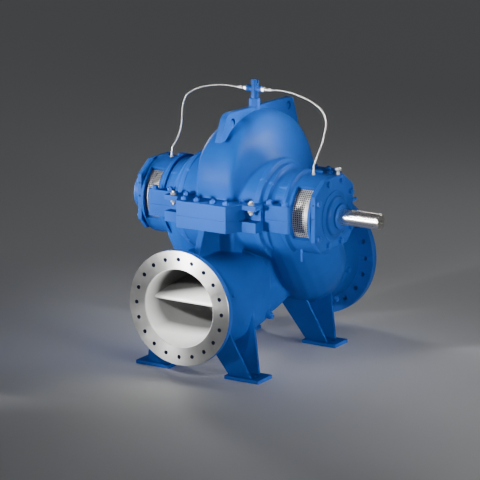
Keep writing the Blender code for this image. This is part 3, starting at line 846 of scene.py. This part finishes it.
# The split flange in plan, from front to rear, and how each point moves back with an inset
JOINT = (
    (0.181, -0.504, 1), (0.236, -LUG_FRONT, 0.3), (LUG[1], -LUG_FRONT, 1), (LUG[1], -0.312, 1),
    (0.510, -0.312, 1), (0.521, -0.301, 1), (0.521, -0.277, 0), (BARREL_END, -0.277, 0),
    (BARREL_END, 0.277, 0), (0.521, 0.277, 0), (0.521, 0.301, -1), (0.510, 0.312, -1),
    (0.370, 0.340, -1), (0.345, 0.560, -1), (0.270, 0.790, -1), (0.180, 0.850, -1),
)


def joint_block(low, high, inset=0.0):
    """The split flange between two heights, mirrored from one side."""
    side = [(x - inset, y + share * inset, low) for x, y, share in JOINT]
    return plate(side + [(-x, y, z) for x, y, z in reversed(side)], (0, 0, high - low))


def barrels():
    half = [(0.20, 0.318), (0.292, 0.318), (0.300, 0.312), (0.306, 0.296), (0.318, 0.290),
            (0.332, 0.290), (0.340, 0.286), (0.350, 0.266), (0.372, 0.256), (0.460, 0.256)]
    profile = [(-0.460, 0)] + [(-x, r) for x, r in reversed(half)] + half + [(0.460, 0)]
    return turned(profile, steps=72)


def barrel_band(side):
    """The stepped shoulder of one barrel, turned crisp and a little proud of the cast skin."""
    return turned([
        (0.262, 0.200), (0.262, 0.3165), (0.266, 0.3195), (0.290, 0.3195), (0.297, 0.317),
        (0.301, 0.311), (0.3035, 0.300), (0.306, 0.2955), (0.311, 0.2925), (0.330, 0.2925),
        (0.337, 0.2905), (0.341, 0.285), (0.345, 0.271), (0.350, 0.263), (0.358, 0.2585),
        (0.372, 0.2570), (0.4336, 0.2570), (0.4336, 0.200)], steps=128, ring=True, side=side)


# Legs: where their pairs stand, how deep they reach, and their inner edge, outer edge and half
# width as (size at LEG_DEPTH, growth per metre further down)
FEET = {"front": -FOOT_Y, "rear": FOOT_Y}
LEG_TOP, LEG_DEPTH, LEG_END = 0.56, 0.60, 0.968
LEG_INNER, LEG_OUTER = (0.035, 0.52), (0.266, 0.32)
LEG_HALF = {"front": (0.175, -0.310), "rear": (0.192, -0.354)}
# Foot pads: where they begin and end sideways, half their width, thickness, bolt hole's radius
PAD_X, PAD_HALF, PAD_THICK, PAD_HOLE = (0.205, 0.455), 0.085, 0.025, 0.014


def leg_outline(place_, side, depth):
    """The U shape of one leg in plan at a depth below the shaft, open to the outside."""
    centre = FEET[place_]
    inner, outer, half = (size + (depth - LEG_DEPTH) * growth
                          for size, growth in (LEG_INNER, LEG_OUTER, LEG_HALF[place_]))
    wall, web = 0.020, 0.024
    shape = [(outer, -half), (outer, wall - half), (inner + web, wall - half),
             (inner + web, half - wall), (outer, half - wall), (outer, half),
             (inner, half), (inner, -half)]
    return [(side * x, centre + y, -depth) for x, y in shape]


def legs():
    found = []
    for place_, centre in FEET.items():
        for side in (1, -1):
            leg = loft([leg_outline(place_, side, depth) for depth in (LEG_TOP, LEG_END)])
            xs = sorted(side * x for x in PAD_X)
            weld(leg, block((xs[0], centre - PAD_HALF, FLOOR),
                            (xs[1], centre + PAD_HALF, FLOOR + PAD_THICK)))
            bolt = [(side * FOOT_BOLT, centre, z) for z in (-1.1, -0.9)]
            carve(leg, cylinder(*bolt, PAD_HOLE))
            chamfer(leg, 5 / 3)
            found.append(leg)
    return found


LIFTING_CORE = ((-0.225, 0.560), (0.575, 0.560), (0.60, 0.36), (0.30, 0.50), (0.0, 0.52),
                (-0.27, 0.38))


def bracket_space(side):
    """Room in the castings for one bearing bracket, wider than it by the clearance."""
    step = BARREL_END + BRACKET_FLANGE + 2 * GAP
    return turned([
        (BARREL_END, 0), (BARREL_END, BRACKET_RIM + GAP), (step, BRACKET_RIM + GAP),
        (step + BRACKET_STEP, BRACKET + GAP), (0.9, BRACKET + GAP), (0.9, 0)], steps=96, side=side)


def lug_space(side, low, high):
    """Room over or under the pad of one front lug of the split flange."""
    xs = sorted((side * LUG[0], side * (LUG[1] + 0.05)))
    return block((xs[0], -0.45, low), (xs[1], -LUG_BACK, high))


def cast_volume():
    """The scroll, channel, lobes and barrels blended into one skin with fillets."""
    parts = [
        barrels(),
        loft(nozzle_loops([k / -50 for k in range(37, 14, -2)] + [-0.20, -0.10])),
        turned([(0.60, 0), (0.60, 0.292), (0.70, 0.314), (0.78, 0.322), (0.86, 0.318),
                (0.98, 0.318), (0.98, 0)], "Y", (0, 0, DROP), steps=72),
        joint_block(-JOINT_BOTTOM + 0.006, JOINT_TOP - 0.006, 0.012),
        plate([(-0.0225, -0.490, -0.060), (-0.0225, -0.300, -0.060), (-0.0225, -0.300, -0.300),
               (-0.0225, -0.585, -0.300), (-0.0225, -0.556, -0.217)], (0.045, 0, 0)),
    ]
    lobe = suction_lobe()
    core = plate([(-0.012, y, z) for y, z in LIFTING_CORE], (0.024, 0, 0))
    parts += [lobe, copied(lobe, MIRROR), core]
    body = gather(scroll(), *parts)
    pick(body)
    body.data.remesh_voxel_size = sizes().grain * 1.0
    body.data.remesh_voxel_adaptivity = 0.0
    bpy.ops.object.voxel_remesh()
    modify(body, "SMOOTH", factor=0.5, iterations=round(sizes().fillet))
    return body


class PUMP_OT_castings(bpy.types.Operator):
    """Casts both halves of the casing, with the nozzles and feet on the lower one"""
    bl_idname = "pump.castings"
    bl_label = "Castings"

    def execute(self, context):
        body = cast_volume()
        face = DISCHARGE_FACE + DISCHARGE_FLANGE[4] + GAP
        back = SUCTION_FACE - SUCTION_FLANGE[4] - GAP
        tools = [block((-1, -2, -1), (1, face, 0.3)), block((-1, back, -1), (1, 2, 0.3))]
        for side in (1, -1):
            tools += [bracket_space(side), lug_space(side, -LUG_PAD, LUG_LIP)]
        carve(body, *tools, solver="MANIFOLD")
        upper, lower = copied(body, Matrix.Identity(4)), body
        carve(upper, block((-2, -2, -2), (2, 2, PARTING)), solver="MANIFOLD")
        carve(lower, block((-2, -2, -PARTING), (2, 2, 2)), solver="MANIFOLD")

        lid = joint_block(PARTING, JOINT_TOP)
        base = joint_block(-JOINT_BOTTOM, -PARTING)
        for side in (1, -1):
            carve(lid, lug_space(side, -0.1, LUG_LIP))
            carve(base, lug_space(side, -LUG_PAD, 0.1))
        chamfer(lid, 0.6)
        chamfer(base, 0.6)
        for half, far in ((upper, -2), (lower, 2)):
            bands = gather(barrel_band(1), barrel_band(-1))
            away = sorted((math.copysign(PARTING, -far), far))
            carve(bands, block((-2, -2, away[0]), (2, 2, away[1])), solver="MANIFOLD")
            weld(half, bands, solver="MANIFOLD")
        for side in (1, -1):
            for flange in (lid, base):
                carve(flange, bracket_space(side))
        weld(upper, lid, solver="MANIFOLD")
        weld(lower, base, *legs(), solver="MANIFOLD")
        bore = turned([(-0.80, 0), (-0.80, 0.2505), (-0.25, 0.2505), (-0.16, 0.24), (-0.16, 0)],
                      "Y", (0, 0, DROP), steps=72)
        throat = turned([(1.0, 0), (1.0, 0.2975), (0.78, 0.2975), (0.62, 0.285), (0.62, 0)],
                        "Y", (0, 0, DROP), steps=72)
        tunnels = [cylinder((-0.5, 0, 0), (0.5, 0, 0), 0.078, 48) for _ in range(2)]
        carve(lower, bore, throat, tunnels[0], solver="MANIFOLD")
        carve(upper, tunnels[1], solver="MANIFOLD")
        place(upper, "casing_upper_half", "cast_enamel", replaces=["upper_casing"])
        place(lower, "casing_lower_half", "cast_enamel", replaces=[
            "lower_casing", "discharge_nozzle", "suction_nozzle", "foot_front_drive",
            "foot_front_free", "foot_rear_drive", "foot_rear_free"])
        return {"FINISHED"}


# ---- flanges and waterway


def nozzle_flange(form, low, high):
    """A round flange, turned, drilled and with its edges broken."""
    outer, circle, hole, bore, _, edge = form
    disc = turned([(low, bore), (low, outer - edge), (low + edge, outer), (high - edge, outer),
                   (high, outer - edge), (high, bore)], "Y", (0, 0, DROP), steps=96, ring=True)
    count = sizes().flange_holes
    for i in range(count):
        angle = 2 * math.pi * i / count
        x, z = circle * math.sin(angle), DROP + circle * math.cos(angle)
        carve(disc, cylinder((x, low - 0.02, z), (x, high + 0.02, z), hole, 24))
    return disc


class PUMP_OT_flanges(bpy.types.Operator):
    """Turns and drills the discharge and suction flanges"""
    bl_idname = "pump.flanges"
    bl_label = "Nozzle flanges"

    def execute(self, context):
        face = DISCHARGE_FACE
        discharge = nozzle_flange(DISCHARGE_FLANGE, face, face + DISCHARGE_FLANGE[4])

        def out(spot):
            return math.hypot(spot.x, spot.z - DROP)

        def on_face(spot, facet):
            return facet.normal.y < -0.5 or out(spot) < BORE_EDGE and abs(facet.normal.y) < 0.5

        def in_hole(spot, facet):
            return BORE_EDGE < out(spot) < 0.35 and abs(facet.normal.y) < 0.5

        # The walls of the bolt holes get the painted shade enamel
        coat(discharge, "machined_enamel", ("faced_iron", on_face), ("shade_painted_enamel", in_hole))
        place(discharge, "discharge_flange_primed", None, replaces=["discharge_flange"],
              slot="grey_primer")
        back = SUCTION_FACE
        suction = nozzle_flange(SUCTION_FLANGE, back - SUCTION_FLANGE[4], back)
        place(suction, "suction_flange_drilled", "machined_enamel", replaces=["suction_flange"])
        return {"FINISHED"}


class PUMP_OT_waterway(bpy.types.Operator):
    """Lines the discharge bore and sets the splitter web of the double scroll in it"""
    bl_idname = "pump.waterway"
    bl_label = "Waterway"

    def execute(self, context):
        face = DISCHARGE_FACE
        lining = turned([(face + 0.006, 0.2496), (face + 0.004, 0.2466), (-0.60, 0.2455),
                         (-0.30, 0.236), (-0.175, 0.214), (-0.165, 0.19), (-0.165, 0.0),
                         (-0.162, 0.0), (-0.162, 0.236), (-0.25, 0.2502), (face + 0.046, 0.2502),
                         (face + 0.044, 0.2496)], "Y", (0, 0, DROP), steps=72, ring=True)
        low, high = DROP + 0.004, DROP + 0.034
        rise, front, back = 0.18, -0.655, -0.164
        web = plate([(-0.262, front, low + 0.012), (-0.262, front + 0.006, high - 0.006),
                     (-0.262, front + 0.030, high + 0.004),
                     (-0.262, back, high + rise * (back - front)),
                     (-0.262, back, low + rise * (back - front)), (-0.262, front + 0.02, low)],
                    (0.524, 0, 0))
        chamfer(web, 4 / 3, 3)
        carve(web, cylinder((0, -0.9, DROP), (0, 0, DROP), 0.2478, 72), operation="INTERSECT")
        gather(lining, web)
        place(lining, "discharge_waterway", "pale_primer")
        return {"FINISHED"}


# ---- shaft line


class PUMP_OT_shaft(bpy.types.Operator):
    """Turns the shaft, with its keyway and centre hole, and the seal sleeves"""
    bl_idname = "pump.shaft"
    bl_label = "Shaft"

    def execute(self, context):
        end = DRIVE_END
        shaft = turned([(-0.690, 0), (-0.690, SHAFT), (-0.450, SHAFT), (-0.450, SHAFT_BODY),
                        (0.450, SHAFT_BODY), (0.450, SHAFT), (end - 0.004, SHAFT), (end, 0.046),
                        (end, 0.011), (end - 0.004, 0.0085), (end - 0.020, 0.0085),
                        (end - 0.025, 0)], steps=72)
        key = block((end - 0.210, -0.014, 0.0395), (end + 0.02, 0.014, 0.08))
        edit(key, "EDGE")
        select_where(key, "EDGE", lambda p, e: p.x < end - 0.2 and abs(p.z - 0.06) < 0.03
                     and abs(e.verts[0].co.z - e.verts[1].co.z) > 0.01)
        bpy.ops.mesh.bevel(offset=0.0138, segments=6, affect="EDGES")
        leave()
        carve(shaft, key)
        place(shaft, "shaft_turned", "turned_steel", body="rotor", replaces=["shaft"])
        for name, side in ENDS:
            sleeve = turned([
                (0.4503, 0.0503), (0.4503, 0.068), (0.4523, 0.070), (0.520, 0.070), (0.522, 0.066),
                (0.554, 0.066), (0.556, 0.064), (0.556, 0.0503)], steps=48, ring=True, side=side)
            place(sleeve, "seal_sleeve_" + name, "stainless", body="rotor",
                  replaces=["shaft_sleeve_" + name])
        return {"FINISHED"}


# ---- lifting plate, vent and flush fittings

LIFTING_PLATE = ((-0.304, 0.443), (-0.226, 0.611), (0.578, 0.601), (0.659, 0.390), (0.30, 0.44),
                 (0.0, 0.48))
EYES = ((-0.161, 0.548), (0.523, 0.552))
VENT_Y = 0.137
VENT_ARM = 0.718


class PUMP_OT_lifting_plate(bpy.types.Operator):
    """Cuts the lifting plate that stands along the crown, with its two eyes"""
    bl_idname = "pump.lifting_plate"
    bl_label = "Lifting plate"

    def execute(self, context):
        half = 0.0215
        lift = plate([(-half, y, z) for y, z in LIFTING_PLATE], (2 * half, 0, 0))
        for (y, z), radius in ((LIFTING_PLATE[1], 0.040), (LIFTING_PLATE[2], 0.022)):
            edit(lift, "EDGE")
            select_where(lift, "EDGE", lambda p, e: abs(p.x) < 0.001 and abs(p.y - y) < 0.002
                         and abs(p.z - z) < 0.002)
            bpy.ops.mesh.bevel(offset=radius, segments=6, affect="EDGES")
            leave()
        for y, z in EYES:
            carve(lift, cylinder((-0.1, y, z), (0.1, y, z), 0.028, 40))
        chamfer(lift, 14 / 15)
        place(lift, "lifting_plate_with_eyes", "cast_enamel", replaces=["lifting_plate"])
        return {"FINISHED"}


class PUMP_OT_vent(bpy.types.Operator):
    """Makes the vent cross on its hexagon base, and the couplings and feet of the flush tubes"""
    bl_idname = "pump.vent"
    bl_label = "Vent and couplings"

    def execute(self, context):
        base = hexagon(0.0624, 0.0497)
        collar = turned([(-0.03, 0), (-0.03, 0.033), (0.003, 0.033), (0.006, 0.029), (0.006, 0)],
                        "Z", steps=32)
        base = repeated(gather(base, collar), [(0, VENT_Y, 0.6073)])
        place(base, "vent_base_hexagon", "machined_enamel", replaces=["vent_nut"])
        cross = turned([(0.6573, 0), (0.6573, 0.020), (0.661, 0.0235), (0.684, 0.0235),
                        (0.688, 0.0215), (0.748, 0.0215), (0.752, 0.0235), (0.773, 0.0235),
                        (0.777, 0.020), (0.777, 0)], "Z", (0, VENT_Y, 0), steps=40)
        arms = turned([(-0.055, 0), (-0.055, 0.019), (-0.0525, 0.0215), (-0.036, 0.0215),
                       (-0.033, 0.0185), (0.033, 0.0185), (0.036, 0.0215), (0.0525, 0.0215),
                       (0.055, 0.019), (0.055, 0)], "X", (0, VENT_Y, VENT_ARM), steps=40)
        weld(cross, arms)
        chamfer(cross, 0.5)
        place(cross, "vent_cross_body", "machined_enamel", replaces=["vent_cross"])
        for end, side in ENDS:
            tail = turned([
                (0.070, 0), (0.070, 0.0085), (0.081, 0.0085), (0.083, 0.0125), (0.094, 0.0125),
                (0.096, 0.0100), (0.099, 0.0100), (0.101, 0.0125), (0.111, 0.0125),
                (0.114, 0.0098), (0.1277, 0.0090), (0.1277, 0)],
                "X", (0, VENT_Y, VENT_ARM), steps=24, side=side)
            arm = (side * 0.0553, VENT_Y, VENT_ARM)
            head = repeated(hexagon(0.030, 0.020), [arm], (side, 0, 0))
            place(gather(tail, head), "tube_coupling_nut_" + end, "stainless",
                  replaces=["tube_coupling_" + end])
            spot = (side * TUBE_FOOT[0], TUBE_FOOT[1], 0)
            sleeve = turned([(0.250, 0), (0.250, 0.0085), (0.278, 0.0085), (0.280, 0.007),
                             (0.280, 0)], "Z", spot, steps=24)
            low = repeated(hexagon(0.0196, 0.0185), [(spot[0], spot[1], 0.2413)])
            place(gather(sleeve, low), "tube_foot_nut_" + end, "stainless",
                  replaces=["tube_foot_" + end])
        return {"FINISHED"}


# ---- bearing ends


def sector(side, inner, outer, low, high, xs, steps=24):
    """A curved wall about the shaft between two angles above the horizontal, front or rear."""
    angles = [math.radians(low + (high - low) * i / steps) for i in range(steps + 1)]
    outline = [(xs[0], side * r * math.cos(a), r * math.sin(a))
               for r, row in ((inner, angles), (outer, angles[::-1])) for a in row]
    return plate(outline, (xs[1] - xs[0], 0, 0))


class PUMP_OT_brackets(bpy.types.Operator):
    """Turns the two bearing brackets and cuts their windows and the seats of the flush tubes"""
    bl_idname = "pump.brackets"
    bl_label = "Bearing brackets"

    def execute(self, context):
        for end, side in ENDS:
            start, mouth = BARREL_END + GAP, BRACKET_END[end]
            wall = start + BRACKET_FLANGE
            lip = mouth - BRACKET_LIP
            step = wall + BRACKET_STEP
            bracket = turned([
                (start, 0.086), (start, BRACKET_RIM - 0.003), (start + 0.003, BRACKET_RIM),
                (wall - 0.003, BRACKET_RIM), (wall, BRACKET_RIM - 0.003), (wall + 0.006, 0.258),
                (step - 0.004, 0.2515), (step, BRACKET), (mouth - 0.003, BRACKET),
                (mouth, BRACKET - 0.003), (mouth, BRACKET_MOUTH), (lip, BRACKET_MOUTH),
                (lip, BRACKET_INSIDE), (wall, BRACKET_INSIDE), (wall, 0.086)],
                steps=96, ring=True, side=side)
            xs = sorted(side * x for x in WINDOW[end])
            for face in (-1, 1):
                carve(bracket, sector(face, 0.120, 0.320, WINDOW_LOW, WINDOW_HIGH, xs))
            spot = (side * TUBE_FOOT[0], TUBE_FOOT[1])
            carve(bracket, cylinder((*spot, 0.2412), (*spot, 0.3), 0.0165, 32))
            if end == "drive":
                drain = [(0.512, -0.140, z) for z in (-0.300, -0.190)]
                carve(bracket, cylinder(*drain, 0.0058, 20))
            chamfer(bracket, 5 / 6)
            lid = plate([(side * x, y, 0.240) for x, y in (
                (0.476, 0.045), (0.520, 0.045), (0.532, 0.056), (0.532, 0.084), (0.520, 0.095),
                (0.476, 0.095), (0.464, 0.084), (0.464, 0.056))], (0, 0, 0.017))
            chamfer(lid)
            gather(bracket, lid)
            # The bracket's inner faces get the painted shade enamel, for the shade inside it
            coat(bracket, "cast_enamel", (
                "shade_painted_enamel", lambda p, f: start + 0.003 < abs(p.x) < mouth - 0.001
                and all(math.hypot(*v.co.yz) < BRACKET_INSIDE + 0.0005 for v in f.verts)))
            place(bracket, "bearing_bracket_windowed_" + end, None,
                  replaces=["bearing_bracket_" + end])
        return {"FINISHED"}


class PUMP_OT_guards(bpy.types.Operator):
    """Punches and rolls the perforated guards behind the bracket windows"""
    bl_idname = "pump.guards"
    bl_label = "Window guards"

    def execute(self, context):
        radius, sheet = 0.2205, 0.0012
        low, high = math.radians(WINDOW_LOW - 6), math.radians(WINDOW_HIGH + 6)
        for end, side in ENDS:
            first, last = WINDOW[end][0] - 0.010, BRACKET_END[end] - BRACKET_LIP - GAP
            across = round((last - first) / sizes().guard_pitch)
            along = round((high - low) * radius / sizes().guard_pitch)
            wide, tall = (last - first) / across, (high - low) * radius / along
            bpy.ops.mesh.primitive_plane_add(
                size=1, location=(first + wide / 2, 0, low * radius + tall / 2),
                rotation=(math.pi / 2, 0, 0))
            mesh = bpy.context.object
            mesh.scale = (wide, tall, 1)
            settle(mesh)
            edit(mesh, "FACE", "SELECT")
            bpy.ops.mesh.inset(thickness=wide * 0.115)
            bpy.ops.mesh.bevel(offset=wide * 0.12, segments=1, affect="VERTICES")
            bpy.ops.mesh.delete(type="FACE")
            leave()
            for axis, count, step in ((0, across, wide), (2, along, tall)):
                offset = [0.0, 0.0, 0.0]
                offset[axis] = step
                modify(mesh, "ARRAY", count=count, use_relative_offset=False,
                       use_constant_offset=True, constant_offset_displace=offset,
                       use_merge_vertices=True, merge_threshold=0.0002)
            modify(mesh, "SOLIDIFY", thickness=sheet, offset=0.0)
            modify(mesh, "SIMPLE_DEFORM", deform_method="BEND", deform_axis="X", angle=high - low)
            mesh.location.y = -radius
            settle(close_up(mesh))
            front = mesh if side > 0 else copied(mesh, MIRROR)
            rear = copied(front, REAR)
            if side < 0:
                bpy.data.objects.remove(mesh)
            for place_, guard in (("front", front), ("rear", rear)):
                place(guard, f"perforated_guard_{place_}_{end}", "guard_sheet",
                      replaces=[f"guard_{place_}_{end}"], smooth=20)
        return {"FINISHED"}


HOUSING = ((-0.170, -0.200), (0.170, -0.200), (0.2385, -0.130), (0.2385, 0.160),
           (0.112, 0.245), (-0.112, 0.245), (-0.2385, 0.160), (-0.2385, -0.130))


def circled(x, radius, *angles):
    """Spots on a circle about the shaft."""
    turns = [math.radians(angle) for angle in angles]
    return [(x, radius * math.cos(turn), radius * math.sin(turn)) for turn in turns]


class PUMP_OT_housings(bpy.types.Operator):
    """Mills the eight-sided bearing housings and sets their screws, covers and seal glands"""
    bl_idname = "pump.housings"
    bl_label = "Bearing housings"

    def execute(self, context):
        for end, side in ENDS:
            low = BRACKET_END[end] + GAP
            face = low + PLATE
            housing = plate([(side * low, y, z) for y, z in HOUSING], (side * PLATE, 0, 0))
            chamfer(housing, 4 / 3, 3)
            inside = turned([
                (0.572, 0.062), (0.572, 0.128), (0.576, 0.132), (low + 0.005, 0.132),
                (low + 0.005, 0.062)], steps=48, ring=True, side=side)
            weld(housing, inside)
            carve(housing, cylinder((-0.9, 0, 0), (0.9, 0, 0), 0.062, 48))
            # The housing's faces inside the bracket get the painted shade enamel
            coat(housing, "cast_enamel", ("shade_painted_enamel", lambda p, f: abs(p.x) < low - 0.0005))
            place(housing, "bearing_housing_plate_" + end, None,
                  replaces=["bearing_housing_" + end])

            spots = [(side * face, y, z) for y, z in (
                (-0.083, 0.213), (0.083, 0.213), (-0.078, -0.176), (0.078, -0.176),
                (-0.205, 0.115), (0.205, 0.115), (-0.200, -0.110), (0.200, -0.110))]
            screws = repeated(nut(0.036, 0.015, 0.003, 0), spots, (side, 0, 0))
            place(screws, "housing_screws_" + end, "machined_enamel")
            dark = turned([(-0.004, 0), (-0.004, 0.0058), (0.0016, 0.0058), (0.0024, 0.005),
                           (0.0024, 0.0032), (-0.001, 0.003), (-0.001, 0)], "Z", steps=16)
            dark = repeated(dark, [(side * (low + PLATE / 2), -0.2385, z) for z in (0.106, 0.020)],
                            (0, -1, 0))
            place(dark, "edge_screws_" + end, "black_oxide")

            seat = face + GAP
            skirt = [(seat + x, r) for x, r in (
                (0, 0.156), (0.002, 0.158), (0.006, 0.1575), (0.008, 0.155), (0.010, 0.138),
                (0.013, 0.128), (0.017, 0.1255))]
            if side > 0:
                profile = [(seat, BEARING_BORE)] + skirt + [(seat + x, r) for x, r in (
                    (0.022, 0.1245), (0.027, 0.1218), (0.0315, 0.1168), (0.035, 0.1100),
                    (0.0375, 0.1015), (0.039, 0.091), (0.039, 0.082), (0.041, 0.079),
                    (0.051, 0.079), (0.053, 0.077), (0.053, BEARING_BORE))]
            else:
                last = -FREE_END
                blind = [(seat + 0.050, 0), (seat + 0.050, BEARING_BORE), (seat, BEARING_BORE)]
                profile = blind + skirt + [
                    (last - 0.014, 0.1235), (last - 0.006, 0.120), (last - 0.0015, 0.114),
                    (last, 0.108), (last, 0)]
            cover = turned(profile, steps=96, ring=side > 0, side=side)
            place(cover, "bearing_cover_turned_" + end, "machined_enamel",
                  replaces=["bearing_cover_" + end])
            spots = circled(side * (seat + 0.008), 0.143, -51, 12)
            place(repeated(nut(0.022, 0.010, 0.002, 0), spots, (side, 0, 0)),
                  "cover_screws_" + end, "machined_enamel")

            start = BARREL_END + BRACKET_FLANGE + 2 * GAP
            gland = turned([(start + x, r) for x, r in (
                (0, 0.0785), (0, 0.126), (0.002, 0.128), (0.016, 0.128), (0.018, 0.124),
                (0.020, 0.104), (0.028, 0.104), (0.030, 0.102), (0.030, 0.0785))],
                steps=64, ring=True, side=side)
            spots = circled(side * (start + 0.018), 0.115, 45, 135, 225, 315)
            studs = repeated(nut(0.019, 0.009, 0.0015, 0.004), spots, (side, 0, 0))
            # The whole gland, deep in the bracket, is in the painted shade enamel
            place(gather(gland, studs), "seal_gland_studded_" + end, "shade_painted_enamel",
                  replaces=["seal_gland_" + end])
        return {"FINISHED"}


SPLIT_STUDS = ((0.058, -0.455), (0.152, -0.455), (0.205, -0.345), (0.365, -0.286), (0.478, -0.292),
               (0.478, 0.292), (0.325, 0.430), (0.292, 0.560), (0.245, 0.680), (0.175, 0.780),
               (0.060, 0.802))


def plug(spot, axis, radius, reach, depth=0.020):
    """A round boss with a plug screwed into it."""
    seat = reach * 0.55
    boss = turned([(-depth, 0), (-depth, radius * 1.22), (-0.4 * depth, radius * 1.18),
                   (reach * 0.45, radius), (seat + 0.001, radius * 0.95), (seat + 0.001, 0)],
                  "Z", steps=32)
    head = hexagon(radius * 1.25, reach * 0.45)
    head.location.z = seat
    return repeated(gather(boss, settle(head)), [spot], axis)


class PUMP_OT_fittings(bpy.types.Operator):
    """Adds the split-flange nuts, jack screws, plugs, breather and bearing probe"""
    bl_idname = "pump.fittings"
    bl_label = "Fasteners and fittings"

    def execute(self, context):
        spots = []
        for x, y in SPLIT_STUDS:
            spots += [(x, y, JOINT_TOP), (-x, y, JOINT_TOP)]
        nuts = repeated(nut(0.034, 0.017), spots)
        place(nuts, "split_flange_nuts", "machined_enamel")
        for end, side in ENDS:
            x, y = side * JACK[0], -JACK[1]
            shank = turned([(0.026, 0), (0.0262, 0.005), (0.030, 0.0095), (0.035, 0.0115),
                            (0.112, 0.0115), (0.117, 0.0105), (0.120, 0.007), (0.1205, 0)],
                           "Z", (x, y, 0), steps=24)
            top = repeated(hexagon(0.034, 0.0145), [(x, y, JOINT_TOP + GAP)])
            low = repeated(hexagon(0.034, 0.0165), [(x, y, 0.0450)])
            place(gather(shank, top, low), "jack_screw_with_nuts_" + end, "stainless",
                  replaces=["jack_screw_" + end])

        x = BRACKET_END["drive"] + GAP + PLATE / 2
        cup = turned([(0.2453, 0), (0.2453, 0.010), (0.250, 0.0105), (0.266, 0.0105),
                      (0.269, 0.0125), (0.274, 0.0195), (0.277, 0.021), (0.287, 0.021),
                      (0.289, 0.019), (0.289, 0.014), (0.282, 0.012), (0.282, 0)],
                     "Z", (x, 0.073, 0), steps=32)
        place(cup, "breather_cup_drive", "stainless", replaces=["breather_drive"])

        body = turned([(0.2388, 0), (0.2388, 0.0095), (0.284, 0.0095), (0.286, 0.0115),
                       (0.298, 0.0115), (0.300, 0.0095), (0.300, 0)],
                      "Y", (x, 0, 0.050), steps=24)
        base = repeated(hexagon(0.0225, 0.012), [(x, 0.2388, 0.050)], (0, 1, 0))
        eye = turned([(0.258, 0.010), (0.258, 0.0125), (0.268, 0.0130), (0.270, 0.0120),
                      (0.270, 0.010)], "Y", (x, 0, 0.050), steps=24, ring=True)
        place(gather(body, base, eye), "bearing_probe_fitting", "machined_enamel",
              replaces=["bearing_probe"])

        plugs = gather(
            plug((0.262, -0.120, -0.668), (0.93, -0.1, -0.25), 0.024, 0.034, 0.06),
            plug((0.262, -0.549, -0.454), (1, 0, 0.1), 0.013, 0.012),
            plug((0.262, 0.750, -0.767), (0.72, 0, -0.69), 0.016, 0.014),
            plug((0.325, 0.800, -0.566), (1, 0, -0.15), 0.020, 0.014))
        place(plugs, "casing_plugs", "machined_enamel")

        drain = bpy.data.objects["drip_pipe_drive"]
        drain.material_slots[0].material = bpy.data.materials["machined_enamel"]
        return {"FINISHED"}


class PUMP_PT_panel(bpy.types.Panel):
    """Lists the pump's pieces in the order in which they are made"""
    bl_idname = "PUMP_PT_panel"
    bl_label = "Split Case Pump"
    bl_space_type = "VIEW_3D"
    bl_region_type = "UI"
    bl_category = "Pump"

    def draw(self, context):
        layout = self.layout
        for group in (context.scene.pump_sizes, context.scene.pump_colours):
            for name in group.bl_rna.properties.keys():
                if name not in ("rna_type", "name"):
                    layout.prop(group, name)
        for step in STEPS:
            layout.operator(step.bl_idname)


STEPS = (
    PUMP_OT_finishes,
    PUMP_OT_stage,
    PUMP_OT_flush_tubes,
    PUMP_OT_castings,
    PUMP_OT_flanges,
    PUMP_OT_waterway,
    PUMP_OT_shaft,
    PUMP_OT_lifting_plate,
    PUMP_OT_vent,
    PUMP_OT_brackets,
    PUMP_OT_guards,
    PUMP_OT_housings,
    PUMP_OT_fittings,
)
CLASSES = (PumpSizes, PumpColours, PUMP_PT_panel) + STEPS


def register():
    for cls in CLASSES:
        bpy.utils.register_class(cls)
    bpy.types.Scene.pump_sizes = PointerProperty(type=PumpSizes)
    bpy.types.Scene.pump_colours = PointerProperty(type=PumpColours)


def unregister():
    del bpy.types.Scene.pump_colours
    del bpy.types.Scene.pump_sizes
    for cls in reversed(CLASSES):
        bpy.utils.unregister_class(cls)


def main():
    register()
    bpy.ops.pump.finishes()
    bpy.ops.pump.stage()
    bpy.ops.pump.flush_tubes()
    bpy.ops.pump.castings()
    bpy.ops.pump.flanges()
    bpy.ops.pump.waterway()
    bpy.ops.pump.shaft()
    bpy.ops.pump.lifting_plate()
    bpy.ops.pump.vent()
    bpy.ops.pump.brackets()
    bpy.ops.pump.guards()
    bpy.ops.pump.housings()
    bpy.ops.pump.fittings()


if __name__ == "__main__":
    main()
